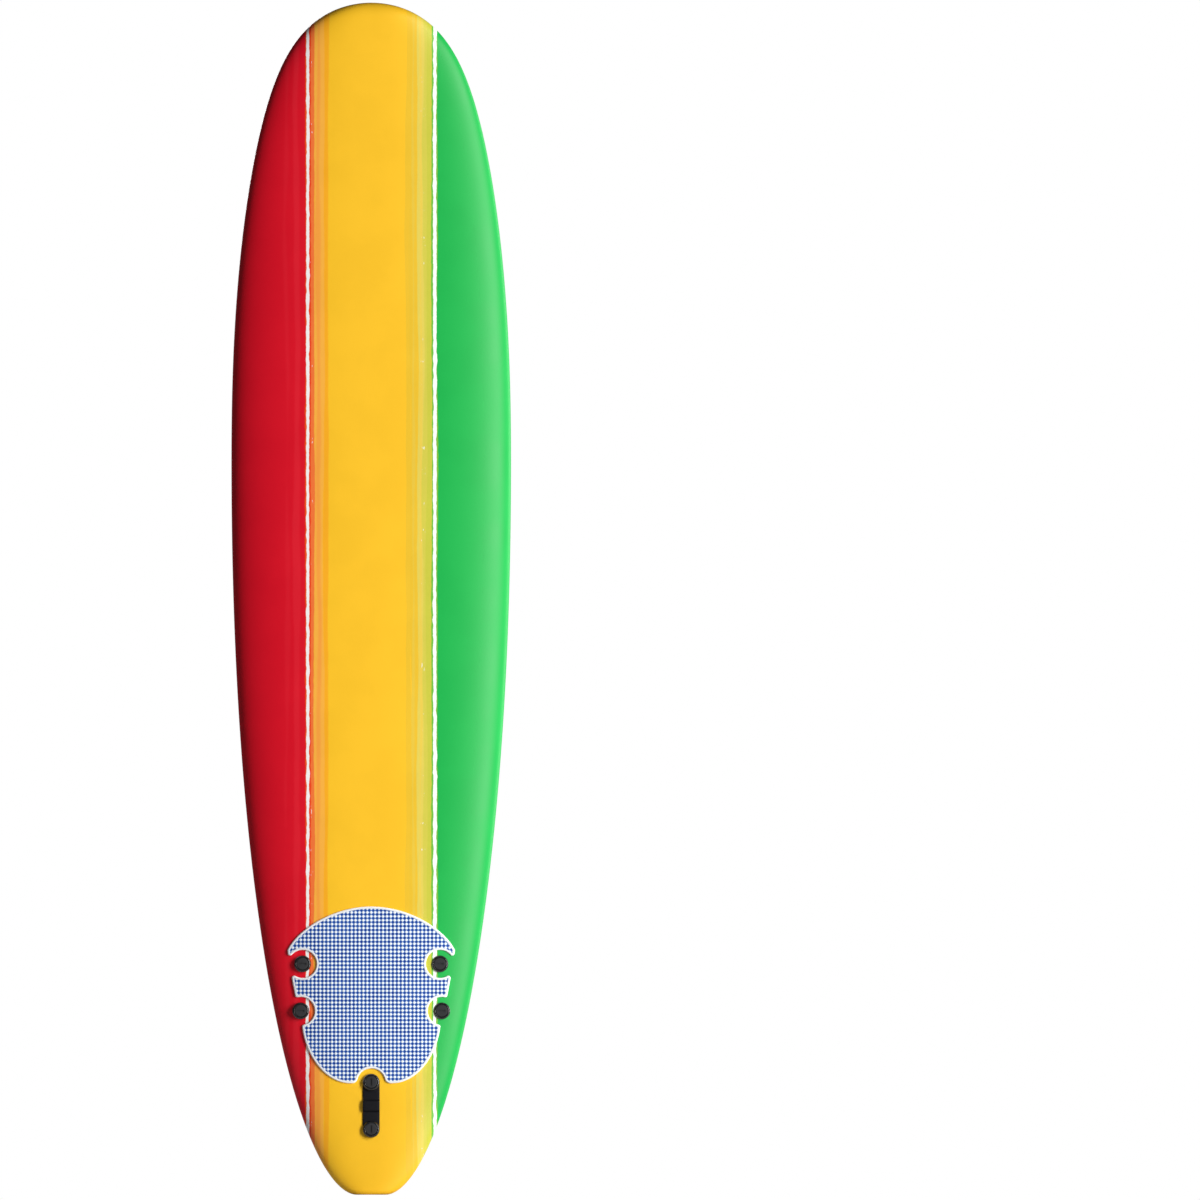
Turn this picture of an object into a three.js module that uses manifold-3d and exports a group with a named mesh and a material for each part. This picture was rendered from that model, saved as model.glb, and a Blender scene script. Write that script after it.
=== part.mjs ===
import * as THREE from 'three'
import { mergeVertices } from 'three/addons/utils/BufferGeometryUtils.js'
import Module from 'manifold-3d'

// An eight-foot soft-top surfboard standing on its tail, in millimetres.
// Z runs up the stringer from tail to nose, the deck faces -Y, the bottom and its fins face +Y,
// and the origin is the centre of the flat tail end.

const wasm = await Module()
wasm.setup()

// Outline, seen from the deck
const LENGTH = 2438.4
const HALF_WIDTH = 286
const WIDE_POINT = 1500
const TAIL_HALF = 30
const TAIL_POWER = 2.1
const TAIL_FULLNESS = 1.87
const NOSE_SHARE = 0.773
const NOSE_POWER = 2.28
const NOSE_TIP_POWER = 12

// Profile, seen from the rail
const THICKNESS = 82.5
const THICK_POINT = 1350
const TAIL_THINNING = 49.5
const TAIL_THIN_POWER = 2.5
const NOSE_THINNING = 48.5
const NOSE_THIN_POWER = 2.3
const BELLY_LOW = 1130
const BELLY_HIGH = 1300
const TAIL_ROCKER = 57
const TAIL_ROCKER_POWER = 2.5
const NOSE_ROCKER = 123
const NOSE_ROCKER_POWER = 2.35
const NOSE_TIP_RADIUS = 30
const TAIL_EDGE_RADIUS = 9
const TAIL_FACE_SHARE = 0.6

// Section across the board
const APEX_SHARE = 0.36
const RAIL_TUCK = 18
const FLAT_LIMIT = 0.9
const DOME_POWER = 3

// Layers
const DECK_SKIN = 5
const SLICK = 1.5
const RIM = 11
const SLICK_END = 6
const GAP = 0.3
const STRINGER = 6
const STRINGER_OFFSET = 97
const CENTRE_STRINGER_FOOT = 275

// Fin boxes: bolts pass from the deck into posts moulded into each fin
const SIDE_FIN_HEIGHT = 420.5
const SIDE_FIN_OUT = 142.4
const SIDE_FIN_TOE = 2.3
const CENTRE_FIN_HEIGHT = 177
const BOLT_SPACING = 96
const SHANK_RADIUS = 4
const POST_RADIUS = 7
const POST_DEPTH = 26
const POST_HEAD = 3
const SHANK_IN_POST = 22
const SLEEVE_WALL = 2.7

// Washer and slotted head
const WASHER_RADIUS = 17.2
const WASHER_RISE = 5.8
const WASHER_CHAMFER = 2.4
const RECESS = 3.4
const RIM_LAND = 2.4
const HEAD_RADIUS = 12.2
const HEAD_HEIGHT = 3
const SLOT_WIDTH = 2.4
const SLOT_LENGTH = 15
const SLOT_DEPTH = 1.5

// Leash strap under the two centre washers
const STRAP_HALF = 17.2
const STRAP_THICKNESS = 2.6
const STRAP_BEVEL = 1.6
const STRAP_LOOP = 20
const STRAP_RAMP = 4
const STRAP_LIFT = 4.8

// Traction pad
const PAD_THICKNESS = 4
const PAD_TOP = 589.5
const PAD_SHOULDER = 500
const PAD_WAIST = 342
const PAD_FOOT = 228
const PAD_SHOULDER_HALF = 171.4
const PAD_WAIST_HALF = 141
const PAD_FOOT_HALF = 42.6
const PAD_CLEARANCE = 11.5
const PAD_NOTCH_HALF = 21

// Fin: a raked blade with a curved slot on a flat base
const BASE_LENGTH = 145
const BASE_HALF = 17.2
const BASE_THICKNESS = 4.6
const BASE_CHAMFER = 2
const BLADE_ROOT = 7.6
const BLADE_TIP = 3.6
const BLADE_HEIGHT = 101

// Fineness of the faceted solids
const STATIONS = 32
const DOME_STEPS = 6
const ROUND = 16
const TIP_FLAT = 0.5

const APEX_AT_TAIL = TAIL_ROCKER + APEX_SHARE * (THICKNESS - TAIL_THINNING)
const TAIL_FACE_SHIFT = TAIL_FACE_SHARE * (0.5 - APEX_SHARE) * (THICKNESS - TAIL_THINNING)
const DATUM = APEX_AT_TAIL + TAIL_FACE_SHIFT
const SLEEVE_BORE = POST_RADIUS + GAP
const SLEEVE_RADIUS = SLEEVE_BORE + SLEEVE_WALL
const OUTER = { side: 0, end: 0, deck: 0, bottom: 0 }

function finish(colour, roughness) {
  return new THREE.MeshStandardMaterial({ color: colour, roughness, metalness: 0 })
}

const deckFoam = finish(0xfec62a, 0.75)
const slickPlastic = finish(0xececf2, 0.3)
const whiteFoam = finish(0xf4f4f0, 0.95)
const wood = finish(0xc79a5e, 0.7)
const padFoam = finish(0x2a5fb0, 0.85)
const blackPlastic = finish(0x17181a, 0.45)
const blackRubber = finish(0x141416, 0.7)
const brass = new THREE.MeshStandardMaterial({ color: 0xb08d45, roughness: 0.35, metalness: 1 })
const palePlastic = finish(0xd9d9d6, 0.5)

// ---- the board's own surface ----

// Half width at height z, for a body set in by `side` at the rails and by `end` at both ends.
function halfWidth(z, side = 0, end = 0) {
  const middle = LENGTH / 2
  const along = middle + (z - middle) * LENGTH / (LENGTH - 2 * end)
  if (along > WIDE_POINT) {
    const u = Math.min(1, (along - WIDE_POINT) / (LENGTH - WIDE_POINT))
    const lost = NOSE_SHARE * u ** NOSE_POWER + (1 - NOSE_SHARE) * u ** NOSE_TIP_POWER
    return (HALF_WIDTH - side) * Math.sqrt(Math.max(0, 1 - lost))
  }
  const v = Math.min(1, (WIDE_POINT - along) / WIDE_POINT)
  const tail = (1 - v ** TAIL_POWER) ** (1 / TAIL_FULLNESS)
  return (1 - side / HALF_WIDTH) * (TAIL_HALF + (HALF_WIDTH - TAIL_HALF) * tail)
}

// Height of the bottom above the belly, towards the deck.
function rocker(z) {
  if (z > BELLY_HIGH) {
    return NOSE_ROCKER * ((z - BELLY_HIGH) / (LENGTH - BELLY_HIGH)) ** NOSE_ROCKER_POWER
  }
  if (z < BELLY_LOW) {
    return TAIL_ROCKER * Math.min(1, (BELLY_LOW - z) / BELLY_LOW) ** TAIL_ROCKER_POWER
  }
  return 0
}

function thickness(z) {
  if (z > THICK_POINT) {
    return THICKNESS - NOSE_THINNING * ((z - THICK_POINT) / (LENGTH - THICK_POINT)) ** NOSE_THIN_POWER
  }
  return THICKNESS - TAIL_THINNING * Math.min(1, (THICK_POINT - z) / THICK_POINT) ** TAIL_THIN_POWER
}

// Share of the thickness left where the nose tip and the tail edge round off.
function endShare(z, end) {
  const tip = NOSE_TIP_RADIUS - end
  const fromNose = LENGTH - end - z
  if (fromNose < tip) {
    return Math.sqrt(Math.max(0, 1 - ((tip - fromNose) / tip) ** 2))
  }
  const edge = TAIL_EDGE_RADIUS - Math.min(end, TAIL_EDGE_RADIUS / 2)
  const fromTail = z - end
  if (fromTail < edge) {
    return 1 - (1 - TAIL_FACE_SHARE) * (1 - Math.sqrt(1 - ((edge - fromTail) / edge) ** 2))
  }
  return 1
}

// What fixes a section: half width, half of the flat bottom, and rail apex, bottom and deck heights.
function levels(z, inset) {
  const half = halfWidth(z, inset.side, inset.end)
  const flat = halfWidth(z) - RAIL_TUCK * thickness(z) / THICKNESS
  const apex = rocker(z) + APEX_SHARE * thickness(z)
  const share = endShare(z, inset.end)
  return {
    half,
    flat: Math.max(0, Math.min(flat, half * FLAT_LIMIT)),
    apex,
    low: apex - (apex - rocker(z) - inset.bottom) * share,
    high: apex + (rocker(z) + thickness(z) - inset.deck - apex) * share
  }
}

function deckHeight(x, z, inset = OUTER) {
  const { half, apex, high } = levels(z, inset)
  const u = Math.min(1, Math.abs(x) / half)
  return apex + (high - apex) * Math.sqrt(1 - u ** DOME_POWER)
}

function bottomHeight(x, z, inset = OUTER) {
  const { half, flat, apex, low } = levels(z, inset)
  const into = Math.max(0, Math.abs(x) - flat) / (half - flat)
  return apex - (apex - low) * Math.sqrt(Math.max(0, 1 - into * into))
}

function point(x, height, z) {
  return new THREE.Vector3(x, DATUM - height, z)
}

// One closed section: over the deck from rail to rail, then back along the bottom.
function section(z, inset) {
  const { half, flat, apex, low, high } = levels(z, inset)
  const right = []
  for (let i = 0; i <= DOME_STEPS; i += 1) {
    const angle = (i / DOME_STEPS) * Math.PI / 2
    const x = half * Math.cos(angle) ** (2 / DOME_POWER)
    right.push([i === DOME_STEPS ? 0 : x, apex + (high - apex) * Math.sin(angle)])
  }
  const under = []
  for (const angle of [Math.PI / 2, Math.PI / 3.2, Math.PI / 7]) {
    under.push([flat + (half - flat) * Math.cos(angle), apex - (apex - low) * Math.sin(angle)])
  }
  const mirrored = ([x, height]) => [-x, height]
  const deckLeft = right.slice(0, DOME_STEPS).reverse().map(mirrored)
  const underLeft = under.slice().reverse().map(mirrored)
  return [...right, ...deckLeft, ...underLeft, ...under].map(([x, height]) => point(x, height, z))
}

// Closed surface through a list of rings, with a fan at each end round the ring's middle.
function loft(rings) {
  const count = rings[0].length
  const middle = ring => ring.reduce((sum, p) => sum.add(p), new THREE.Vector3()).divideScalar(count)
  const points = [...rings.flat(), middle(rings[0]), middle(rings[rings.length - 1])]
  const foot = rings.length * count
  const top = (rings.length - 1) * count
  const index = []
  for (let i = 0; i < count; i += 1) {
    const next = (i + 1) % count
    for (let r = 0; r < rings.length - 1; r += 1) {
      const low = r * count
      const high = low + count
      index.push(low + i, low + next, high + next, low + i, high + next, high + i)
    }
    index.push(foot, next, i, foot + 1, top + i, top + next)
  }
  const geometry = new THREE.BufferGeometry().setFromPoints(points)
  geometry.setIndex(index)
  return facingOut(geometry)
}

function volume(geometry) {
  const position = geometry.getAttribute('position')
  const [a, b, c] = [new THREE.Vector3(), new THREE.Vector3(), new THREE.Vector3()]
  let sum = 0
  for (let i = 0; i < geometry.index.count; i += 3) {
    a.fromBufferAttribute(position, geometry.index.getX(i))
    b.fromBufferAttribute(position, geometry.index.getX(i + 1))
    c.fromBufferAttribute(position, geometry.index.getX(i + 2))
    sum += a.dot(b.cross(c)) / 6
  }
  return sum
}

function facingOut(geometry) {
  if (volume(geometry) < 0) {
    const index = Array.from(geometry.index.array)
    for (let i = 0; i < index.length; i += 3) {
      [index[i], index[i + 1]] = [index[i + 1], index[i]]
    }
    geometry.setIndex(index)
  }
  return geometry
}

// Heights of the sections: close together at both ends, wide apart in between. Every layer
// shares them, so that neighbouring layers have parallel facets.
function stations(end) {
  const low = end
  const high = LENGTH - end - TIP_FLAT
  const shared = []
  for (let i = 1; i < STATIONS; i += 1) {
    shared.push(LENGTH * (1 - Math.cos(Math.PI * i / STATIONS)) / 2)
  }
  const clear = shared.filter(z => z > low + TIP_FLAT && z < high - TIP_FLAT)
  return [low, ...clear, high]
}

function board(inset) {
  return loft(stations(inset.end).map(z => section(z, inset)))
}

// ---- booleans ----

function solid(geometry) {
  const bare = geometry.clone()
  bare.deleteAttribute('normal')
  bare.deleteAttribute('uv')
  const merged = facingOut(mergeVertices(bare, 1e-4))
  const vertProperties = new Float32Array(merged.getAttribute('position').array)
  const triVerts = new Uint32Array(merged.index.array)
  return new wasm.Manifold(new wasm.Mesh({ numProp: 3, vertProperties, triVerts }))
}

function shape(manifold) {
  const mesh = manifold.getMesh()
  const geometry = new THREE.BufferGeometry()
  geometry.setAttribute('position', new THREE.BufferAttribute(mesh.vertProperties, 3))
  geometry.setIndex(Array.from(mesh.triVerts))
  return geometry
}

function named(name, geometry, material) {
  const mesh = new THREE.Mesh(geometry, material)
  mesh.name = name
  return mesh
}

function slab(xLow, xHigh, zLow, zHigh) {
  const depth = 4 * (THICKNESS + NOSE_ROCKER)
  const box = new THREE.BoxGeometry(xHigh - xLow, depth, zHigh - zLow)
  return box.translate((xLow + xHigh) / 2, 0, (zLow + zHigh) / 2)
}

// A closed turned shape from [radius, height] corners, its height along local -Y, out of the deck.
function turned(corners) {
  const outline = corners.map(([radius, height]) => new THREE.Vector2(radius, -height))
  return facingOut(new THREE.LatheGeometry([...outline, outline[0]], ROUND))
}

function rod(radius, low, high) {
  return new THREE.CylinderGeometry(radius, radius, high - low, ROUND).translate(0, -(low + high) / 2, 0)
}

// ---- fin boxes ----

// Each fin's frame: local X runs aft along the bottom, local Y points out of the bottom.
function finFrame(x, z, toeDegrees) {
  const step = 1
  const slope = (rocker(z + step) - rocker(z - step)) / (2 * step)
  const out = new THREE.Vector3(0, 1, slope).normalize()
  const aft = new THREE.Vector3(0, slope, -1).normalize()
  aft.applyAxisAngle(out, THREE.MathUtils.degToRad(toeDegrees) * -Math.sign(x))
  const across = new THREE.Vector3().crossVectors(aft, out)
  const frame = new THREE.Matrix4().makeBasis(aft, out, across)
  return frame.setPosition(point(x, bottomHeight(x, z), z))
}

const FINS = [
  { name: 'left', frame: finFrame(-SIDE_FIN_OUT, SIDE_FIN_HEIGHT, SIDE_FIN_TOE), strapped: false },
  { name: 'centre', frame: finFrame(0, CENTRE_FIN_HEIGHT, 0), strapped: true },
  { name: 'right', frame: finFrame(SIDE_FIN_OUT, SIDE_FIN_HEIGHT, SIDE_FIN_TOE), strapped: false }
]
const BOLTS = FINS.flatMap(fin => [-1, 1].map(end => {
  const shift = new THREE.Matrix4().makeTranslation(end * BOLT_SPACING / 2, 0, 0)
  const frame = fin.frame.clone().multiply(shift)
  const name = `${fin.name}_${end < 0 ? 'front' : 'rear'}`
  return { name, frame, strapped: fin.strapped, deck: deckAlong(frame) }
}))

// Distance from the bottom surface to the deck surface along a bolt.
function deckAlong(frame) {
  let low = 0
  let high = 2 * THICKNESS
  for (let i = 0; i < 40; i += 1) {
    const middle = (low + high) / 2
    const at = new THREE.Vector3(0, -middle, 0).applyMatrix4(frame)
    if (DATUM - at.y < deckHeight(at.x, at.z)) {
      low = middle
    } else {
      high = middle
    }
  }
  return (low + high) / 2
}

// Holes for the sleeves, in the board's frame.
function boltHoles(radius) {
  return BOLTS.map(({ frame, deck }) => {
    return solid(rod(radius, -THICKNESS / 2, deck + THICKNESS / 2).applyMatrix4(frame))
  })
}

function without(body, cutters) {
  return cutters.reduce((left, cutter) => left.subtract(cutter), body)
}

// ---- the board's layers ----

const CORE = { side: DECK_SKIN + GAP, end: DECK_SKIN + GAP, deck: DECK_SKIN + GAP, bottom: SLICK + GAP }
const CORE_ROOM = { side: DECK_SKIN, end: DECK_SKIN, deck: DECK_SKIN, bottom: SLICK }

function rimHalf(z, room) {
  return halfWidth(z, RIM - room, SLICK_END - room)
}

// Plate that lies in the bottom surface, `from` to `to` above it, set in from the outline by the rim.
function bottomPlate(from, to, room) {
  const rings = stations(SLICK_END - room).map(z => {
    const edge = rimHalf(z, room)
    const flat = Math.min(edge * FLAT_LIMIT, levels(z, OUTER).flat)
    const across = [-edge, -(edge + flat) / 2, -flat, flat, (edge + flat) / 2, edge]
    const lower = across.map(x => point(x, bottomHeight(x, z) + from, z))
    const upper = across.map(x => point(x, bottomHeight(x, z) + to, z))
    return [...lower, ...upper.reverse()]
  })
  return loft(rings)
}

function deckSkin(holes) {
  const shell = solid(board(OUTER)).subtract(solid(board(CORE_ROOM)))
  const window = solid(bottomPlate(-DECK_SKIN, 2 * DECK_SKIN, GAP))
  return named('deck_skin', shape(without(shell.subtract(window), holes)), deckFoam)
}

function bottomSkin(holes) {
  const plate = solid(bottomPlate(0, SLICK, 0))
  return named('bottom_skin', shape(without(plate, holes)), slickPlastic)
}

// Three wooden stringers on edge; the centre one ends ahead of the centre fin's bolts.
const STRINGERS = [
  { name: 'stringer_left', x: -STRINGER_OFFSET, foot: 0 },
  { name: 'stringer_centre', x: 0, foot: CENTRE_STRINGER_FOOT },
  { name: 'stringer_right', x: STRINGER_OFFSET, foot: 0 }
]

function stringerBlade({ x, foot }, room) {
  return slab(x - STRINGER / 2 - room, x + STRINGER / 2 + room, foot - room, LENGTH)
}

function stringers(core) {
  return STRINGERS.map(stringer => {
    return named(stringer.name, shape(core.intersect(solid(stringerBlade(stringer, 0)))), wood)
  })
}

// Four lengths of foam, glued up with the stringers between them.
function coreStrips(core, holes) {
  const edges = [-HALF_WIDTH, -STRINGER_OFFSET, 0, STRINGER_OFFSET, HALF_WIDTH]
  const names = ['core_outer_left', 'core_inner_left', 'core_inner_right', 'core_outer_right']
  const grooves = STRINGERS.map(stringer => solid(stringerBlade(stringer, GAP)))
  return names.map((name, i) => {
    const strip = core.intersect(solid(slab(edges[i] + GAP / 2, edges[i + 1] - GAP / 2, 0, LENGTH)))
    return named(name, shape(without(strip, [...grooves, ...holes])), whiteFoam)
  })
}

// ---- what the bolts clamp ----

function atFrame(frame, meshes) {
  const group = new THREE.Group()
  frame.decompose(group.position, group.quaternion, group.scale)
  group.add(...meshes)
  return group
}

// The board set in or out by `inset`, seen from a bolt's frame.
function boardFrom(frame, inset) {
  return solid(board(inset).applyMatrix4(frame.clone().invert()))
}

function sleeve(bolt) {
  const tube = turned([
    [SLEEVE_BORE, -SLEEVE_WALL],
    [SLEEVE_RADIUS, -SLEEVE_WALL],
    [SLEEVE_RADIUS, bolt.deck + SLEEVE_WALL],
    [SLEEVE_BORE, bolt.deck + SLEEVE_WALL]
  ])
  const within = boardFrom(bolt.frame, { side: 0, end: 0, deck: GAP, bottom: GAP })
  return named(`sleeve_${bolt.name}`, shape(solid(tube).intersect(within)), palePlastic)
}

function strapLift(bolt) {
  return bolt.strapped ? STRAP_THICKNESS + GAP : 0
}

function washerTop(bolt) {
  return bolt.deck + strapLift(bolt) + WASHER_RISE
}

// The strap and a gap round it, seen from a bolt's frame.
function strapRoom(frame) {
  const room = shape(strapBody(BOLTS.filter(bolt => bolt.strapped), GAP))
  return solid(room.applyMatrix4(frame.clone().invert()))
}

function washer(bolt) {
  const top = washerTop(bolt)
  const bottom = bolt.deck - WASHER_RADIUS / 2
  const well = HEAD_RADIUS + GAP
  const cup = turned([
    [SHANK_RADIUS + GAP, bottom],
    [WASHER_RADIUS, bottom],
    [WASHER_RADIUS, top - WASHER_CHAMFER],
    [well + RIM_LAND, top],
    [well, top],
    [well, top - RECESS],
    [SHANK_RADIUS + GAP, top - RECESS]
  ])
  const seat = { side: 0, end: 0, deck: -strapLift(bolt) - GAP, bottom: -THICKNESS }
  const cut = solid(cup).subtract(boardFrom(bolt.frame, seat))
  const under = bolt.strapped ? [strapRoom(bolt.frame)] : []
  return named(`washer_${bolt.name}`, shape(without(cut, under)), blackPlastic)
}

function boltPiece(bolt) {
  const seat = washerTop(bolt) - RECESS + GAP
  const edge = 0.6
  const body = turned([
    [0, POST_DEPTH - SHANK_IN_POST],
    [SHANK_RADIUS, POST_DEPTH - SHANK_IN_POST],
    [SHANK_RADIUS, seat],
    [HEAD_RADIUS, seat],
    [HEAD_RADIUS, seat + HEAD_HEIGHT - edge],
    [HEAD_RADIUS - edge, seat + HEAD_HEIGHT],
    [0, seat + HEAD_HEIGHT]
  ])
  const slot = new THREE.BoxGeometry(
    bolt.strapped ? SLOT_LENGTH : SLOT_WIDTH,
    2 * SLOT_DEPTH,
    bolt.strapped ? SLOT_WIDTH : SLOT_LENGTH
  )
  slot.translate(0, -(seat + HEAD_HEIGHT), 0)
  return named(`bolt_${bolt.name}`, shape(solid(body).subtract(solid(slot))), blackPlastic)
}

// ---- strap and pad on the deck ----

// Strap along the deck with round ends under the washers and a raised loop in the middle,
// with `room` added all round.
function strapBody(centre, room) {
  const ends = centre.map(bolt => new THREE.Vector3(0, -bolt.deck, 0).applyMatrix4(bolt.frame).z)
  const low = Math.min(...ends)
  const high = Math.max(...ends)
  const middle = (low + high) / 2
  const loop = STRAP_LOOP / 2
  const reach = STRAP_HALF + room
  const round = [0.12, 0.4, 0.75, 1.15, Math.PI / 2]
  const heights = [
    ...round.map(angle => low - reach * Math.cos(angle)),
    middle - loop - STRAP_RAMP,
    middle - loop,
    middle + loop,
    middle + loop + STRAP_RAMP,
    ...round.map(angle => high + reach * Math.cos(angle)).reverse()
  ]
  return solid(loft(heights.map(z => {
    const past = Math.max(low - z, z - high, 0)
    const half = Math.sqrt(reach ** 2 - past ** 2)
    const lifted = Math.abs(z - middle) < loop + 0.01
    const under = GAP - room + (lifted ? STRAP_LIFT : 0)
    const over = under + STRAP_THICKNESS + 2 * room
    const top = Math.max(0, half - STRAP_BEVEL)
    const corners = [
      [-half, under], [half, under], [half, over - STRAP_BEVEL / 2],
      [top, over], [-top, over], [-half, over - STRAP_BEVEL / 2]
    ]
    return corners.map(([x, rise]) => point(x, deckHeight(x, z) + rise, z))
  })))
}

function leashStrap() {
  const centre = BOLTS.filter(bolt => bolt.strapped)
  const holes = centre.map(bolt => {
    return solid(rod(SHANK_RADIUS + GAP, 0, 2 * THICKNESS).applyMatrix4(bolt.frame))
  })
  return named('leash_strap', shape(without(strapBody(centre, 0), holes)), blackRubber)
}

function padOutline() {
  const half = new THREE.Path()
  half.moveTo(0, PAD_TOP)
  half.bezierCurveTo(75, PAD_TOP, 150, PAD_SHOULDER + 45, PAD_SHOULDER_HALF, PAD_SHOULDER)
  half.quadraticCurveTo(
    PAD_SHOULDER_HALF - 11, (PAD_SHOULDER + PAD_WAIST) / 2,
    PAD_WAIST_HALF, PAD_WAIST
  )
  half.bezierCurveTo(
    PAD_WAIST_HALF - 7, PAD_FOOT + 57,
    PAD_FOOT_HALF + 52, PAD_FOOT,
    PAD_FOOT_HALF, PAD_FOOT
  )
  half.lineTo(0, PAD_FOOT)
  const right = half.getPoints(7)
  const left = right.slice(1, -1).map(p => new THREE.Vector2(-p.x, p.y)).reverse()
  return new THREE.Shape([...right, ...left])
}

// Foam pad that follows the deck, open round the bolts towards the rails and the tail.
function tractionPad() {
  const depth = 2 * (THICKNESS + NOSE_ROCKER)
  const prism = new THREE.ExtrudeGeometry(padOutline(), { depth, bevelEnabled: false })
  prism.rotateX(Math.PI / 2)
  const above = solid(board({ ...OUTER, deck: -GAP - PAD_THICKNESS }))
  const deck = solid(board({ ...OUTER, deck: -GAP, bottom: -THICKNESS }))
  const clear = WASHER_RADIUS + PAD_CLEARANCE
  const openings = BOLTS.flatMap(({ frame, strapped, deck: reach }) => {
    const round = rod(clear, 0, reach + THICKNESS).applyMatrix4(frame)
    const at = new THREE.Vector3(0, -reach, 0).applyMatrix4(frame)
    const slot = strapped
      ? slab(at.x - PAD_NOTCH_HALF, at.x + PAD_NOTCH_HALF, at.z - BOLT_SPACING, at.z)
      : slab(Math.min(at.x, Math.sign(at.x) * HALF_WIDTH), Math.max(at.x, Math.sign(at.x) * HALF_WIDTH),
        at.z - PAD_NOTCH_HALF, at.z + PAD_NOTCH_HALF)
    return [solid(round), solid(slot)]
  })
  const pad = without(above.intersect(solid(prism)).subtract(deck), openings)
  return named('traction_pad', shape(pad), padFoam)
}

// ---- fins ----

function bladeOutline() {
  const outline = new THREE.Shape()
  const root = BASE_THICKNESS / 2
  outline.moveTo(51, root)
  outline.bezierCurveTo(42, 34, 62, 66, 90, 79.5)
  outline.bezierCurveTo(102, 86, 84, BLADE_HEIGHT + 0.5, 70, BLADE_HEIGHT)
  outline.bezierCurveTo(10, 97, -20, 52, -50, root)
  const slot = new THREE.Path()
  slot.absarc(21.5, 13, 6, 0, Math.PI, true)
  slot.bezierCurveTo(17, 42, 40, 68, 62, 80.5)
  slot.quadraticCurveTo(67, 81, 62.4, 75.5)
  slot.bezierCurveTo(42, 64, 28, 42, 27.5, 13)
  outline.holes.push(slot)
  return outline
}

// The blade thins evenly from its root to its tip.
function blade() {
  const geometry = new THREE.ExtrudeGeometry(bladeOutline(), {
    depth: 1,
    bevelEnabled: false,
    curveSegments: 6
  })
  const position = geometry.getAttribute('position')
  for (let i = 0; i < position.count; i += 1) {
    const along = position.getY(i) / BLADE_HEIGHT
    const width = BLADE_ROOT + (BLADE_TIP - BLADE_ROOT) * along
    position.setZ(i, (position.getZ(i) - 0.5) * width)
  }
  return geometry
}

function stadium(length, half, height) {
  const ring = []
  for (const side of [1, -1]) {
    for (let i = 0; i <= 6; i += 1) {
      const angle = (i / 6 - 0.5) * Math.PI
      const x = side * (length / 2 - BASE_HALF + half * Math.cos(angle))
      ring.push(new THREE.Vector3(x, height, side * half * Math.sin(angle)))
    }
  }
  return ring
}

function finBase() {
  return loft([
    stadium(BASE_LENGTH, BASE_HALF, GAP),
    stadium(BASE_LENGTH, BASE_HALF, GAP + BASE_THICKNESS - BASE_CHAMFER),
    stadium(BASE_LENGTH, BASE_HALF - BASE_CHAMFER, GAP + BASE_THICKNESS)
  ])
}

function fin({ name, frame }) {
  const pockets = [-1, 1].map(end => {
    return solid(rod(POST_RADIUS + GAP, -POST_HEAD - GAP, POST_HEAD).translate(end * BOLT_SPACING / 2, 0, 0))
  })
  const moulding = without(solid(finBase()).add(solid(blade())), pockets)
  const posts = [-1, 1].map(end => {
    const tube = turned([
      [SHANK_RADIUS + GAP, -POST_HEAD],
      [POST_RADIUS, -POST_HEAD],
      [POST_RADIUS, POST_DEPTH],
      [SHANK_RADIUS + GAP, POST_DEPTH]
    ])
    const mesh = named(`post_${name}_${end < 0 ? 'front' : 'rear'}`, tube, brass)
    mesh.position.x = end * BOLT_SPACING / 2
    return mesh
  })
  return atFrame(frame, [named(`fin_${name}`, shape(moulding), blackPlastic), ...posts])
}

const group = new THREE.Group()
const core = solid(board(CORE))
const holes = boltHoles(SLEEVE_RADIUS + GAP)
group.add(deckSkin(holes), bottomSkin(holes), ...stringers(core), ...coreStrips(core, holes))
group.add(tractionPad(), leashStrap())
for (const bolt of BOLTS) {
  group.add(atFrame(bolt.frame, [sleeve(bolt), washer(bolt), boltPiece(bolt)]))
}
for (const each of FINS) {
  group.add(fin(each))
}

export default group
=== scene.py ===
"""Builds a soft-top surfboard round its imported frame: skins, grip pad, strap, fins and fin bolts.

The board's surface is given by formulas for its outline, rocker, thickness and section. The fins and
bolts have their own frames on the bottom, and every piece is worked out in the frame it belongs to.
Lengths are in metres unless a comment says otherwise."""

import math

import bpy
import numpy as np
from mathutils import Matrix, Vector


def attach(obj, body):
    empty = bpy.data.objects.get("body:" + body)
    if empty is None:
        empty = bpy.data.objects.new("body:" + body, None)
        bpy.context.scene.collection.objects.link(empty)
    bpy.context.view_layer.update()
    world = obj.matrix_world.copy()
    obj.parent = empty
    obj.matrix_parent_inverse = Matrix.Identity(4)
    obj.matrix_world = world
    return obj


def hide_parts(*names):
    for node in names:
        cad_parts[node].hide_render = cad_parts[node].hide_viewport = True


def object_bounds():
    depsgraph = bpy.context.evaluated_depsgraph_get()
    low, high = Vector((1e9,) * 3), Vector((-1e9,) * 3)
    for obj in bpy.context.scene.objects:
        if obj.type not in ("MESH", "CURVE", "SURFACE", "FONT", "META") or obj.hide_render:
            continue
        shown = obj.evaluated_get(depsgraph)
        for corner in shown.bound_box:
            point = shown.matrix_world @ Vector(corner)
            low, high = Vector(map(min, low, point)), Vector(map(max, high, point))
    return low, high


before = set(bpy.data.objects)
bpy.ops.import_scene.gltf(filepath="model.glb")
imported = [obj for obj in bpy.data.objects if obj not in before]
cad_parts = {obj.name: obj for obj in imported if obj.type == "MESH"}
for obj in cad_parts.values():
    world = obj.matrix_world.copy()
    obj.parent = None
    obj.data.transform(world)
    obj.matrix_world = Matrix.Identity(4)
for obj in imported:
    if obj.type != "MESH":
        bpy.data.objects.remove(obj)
CAD_LOW, CAD_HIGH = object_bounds()

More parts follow.
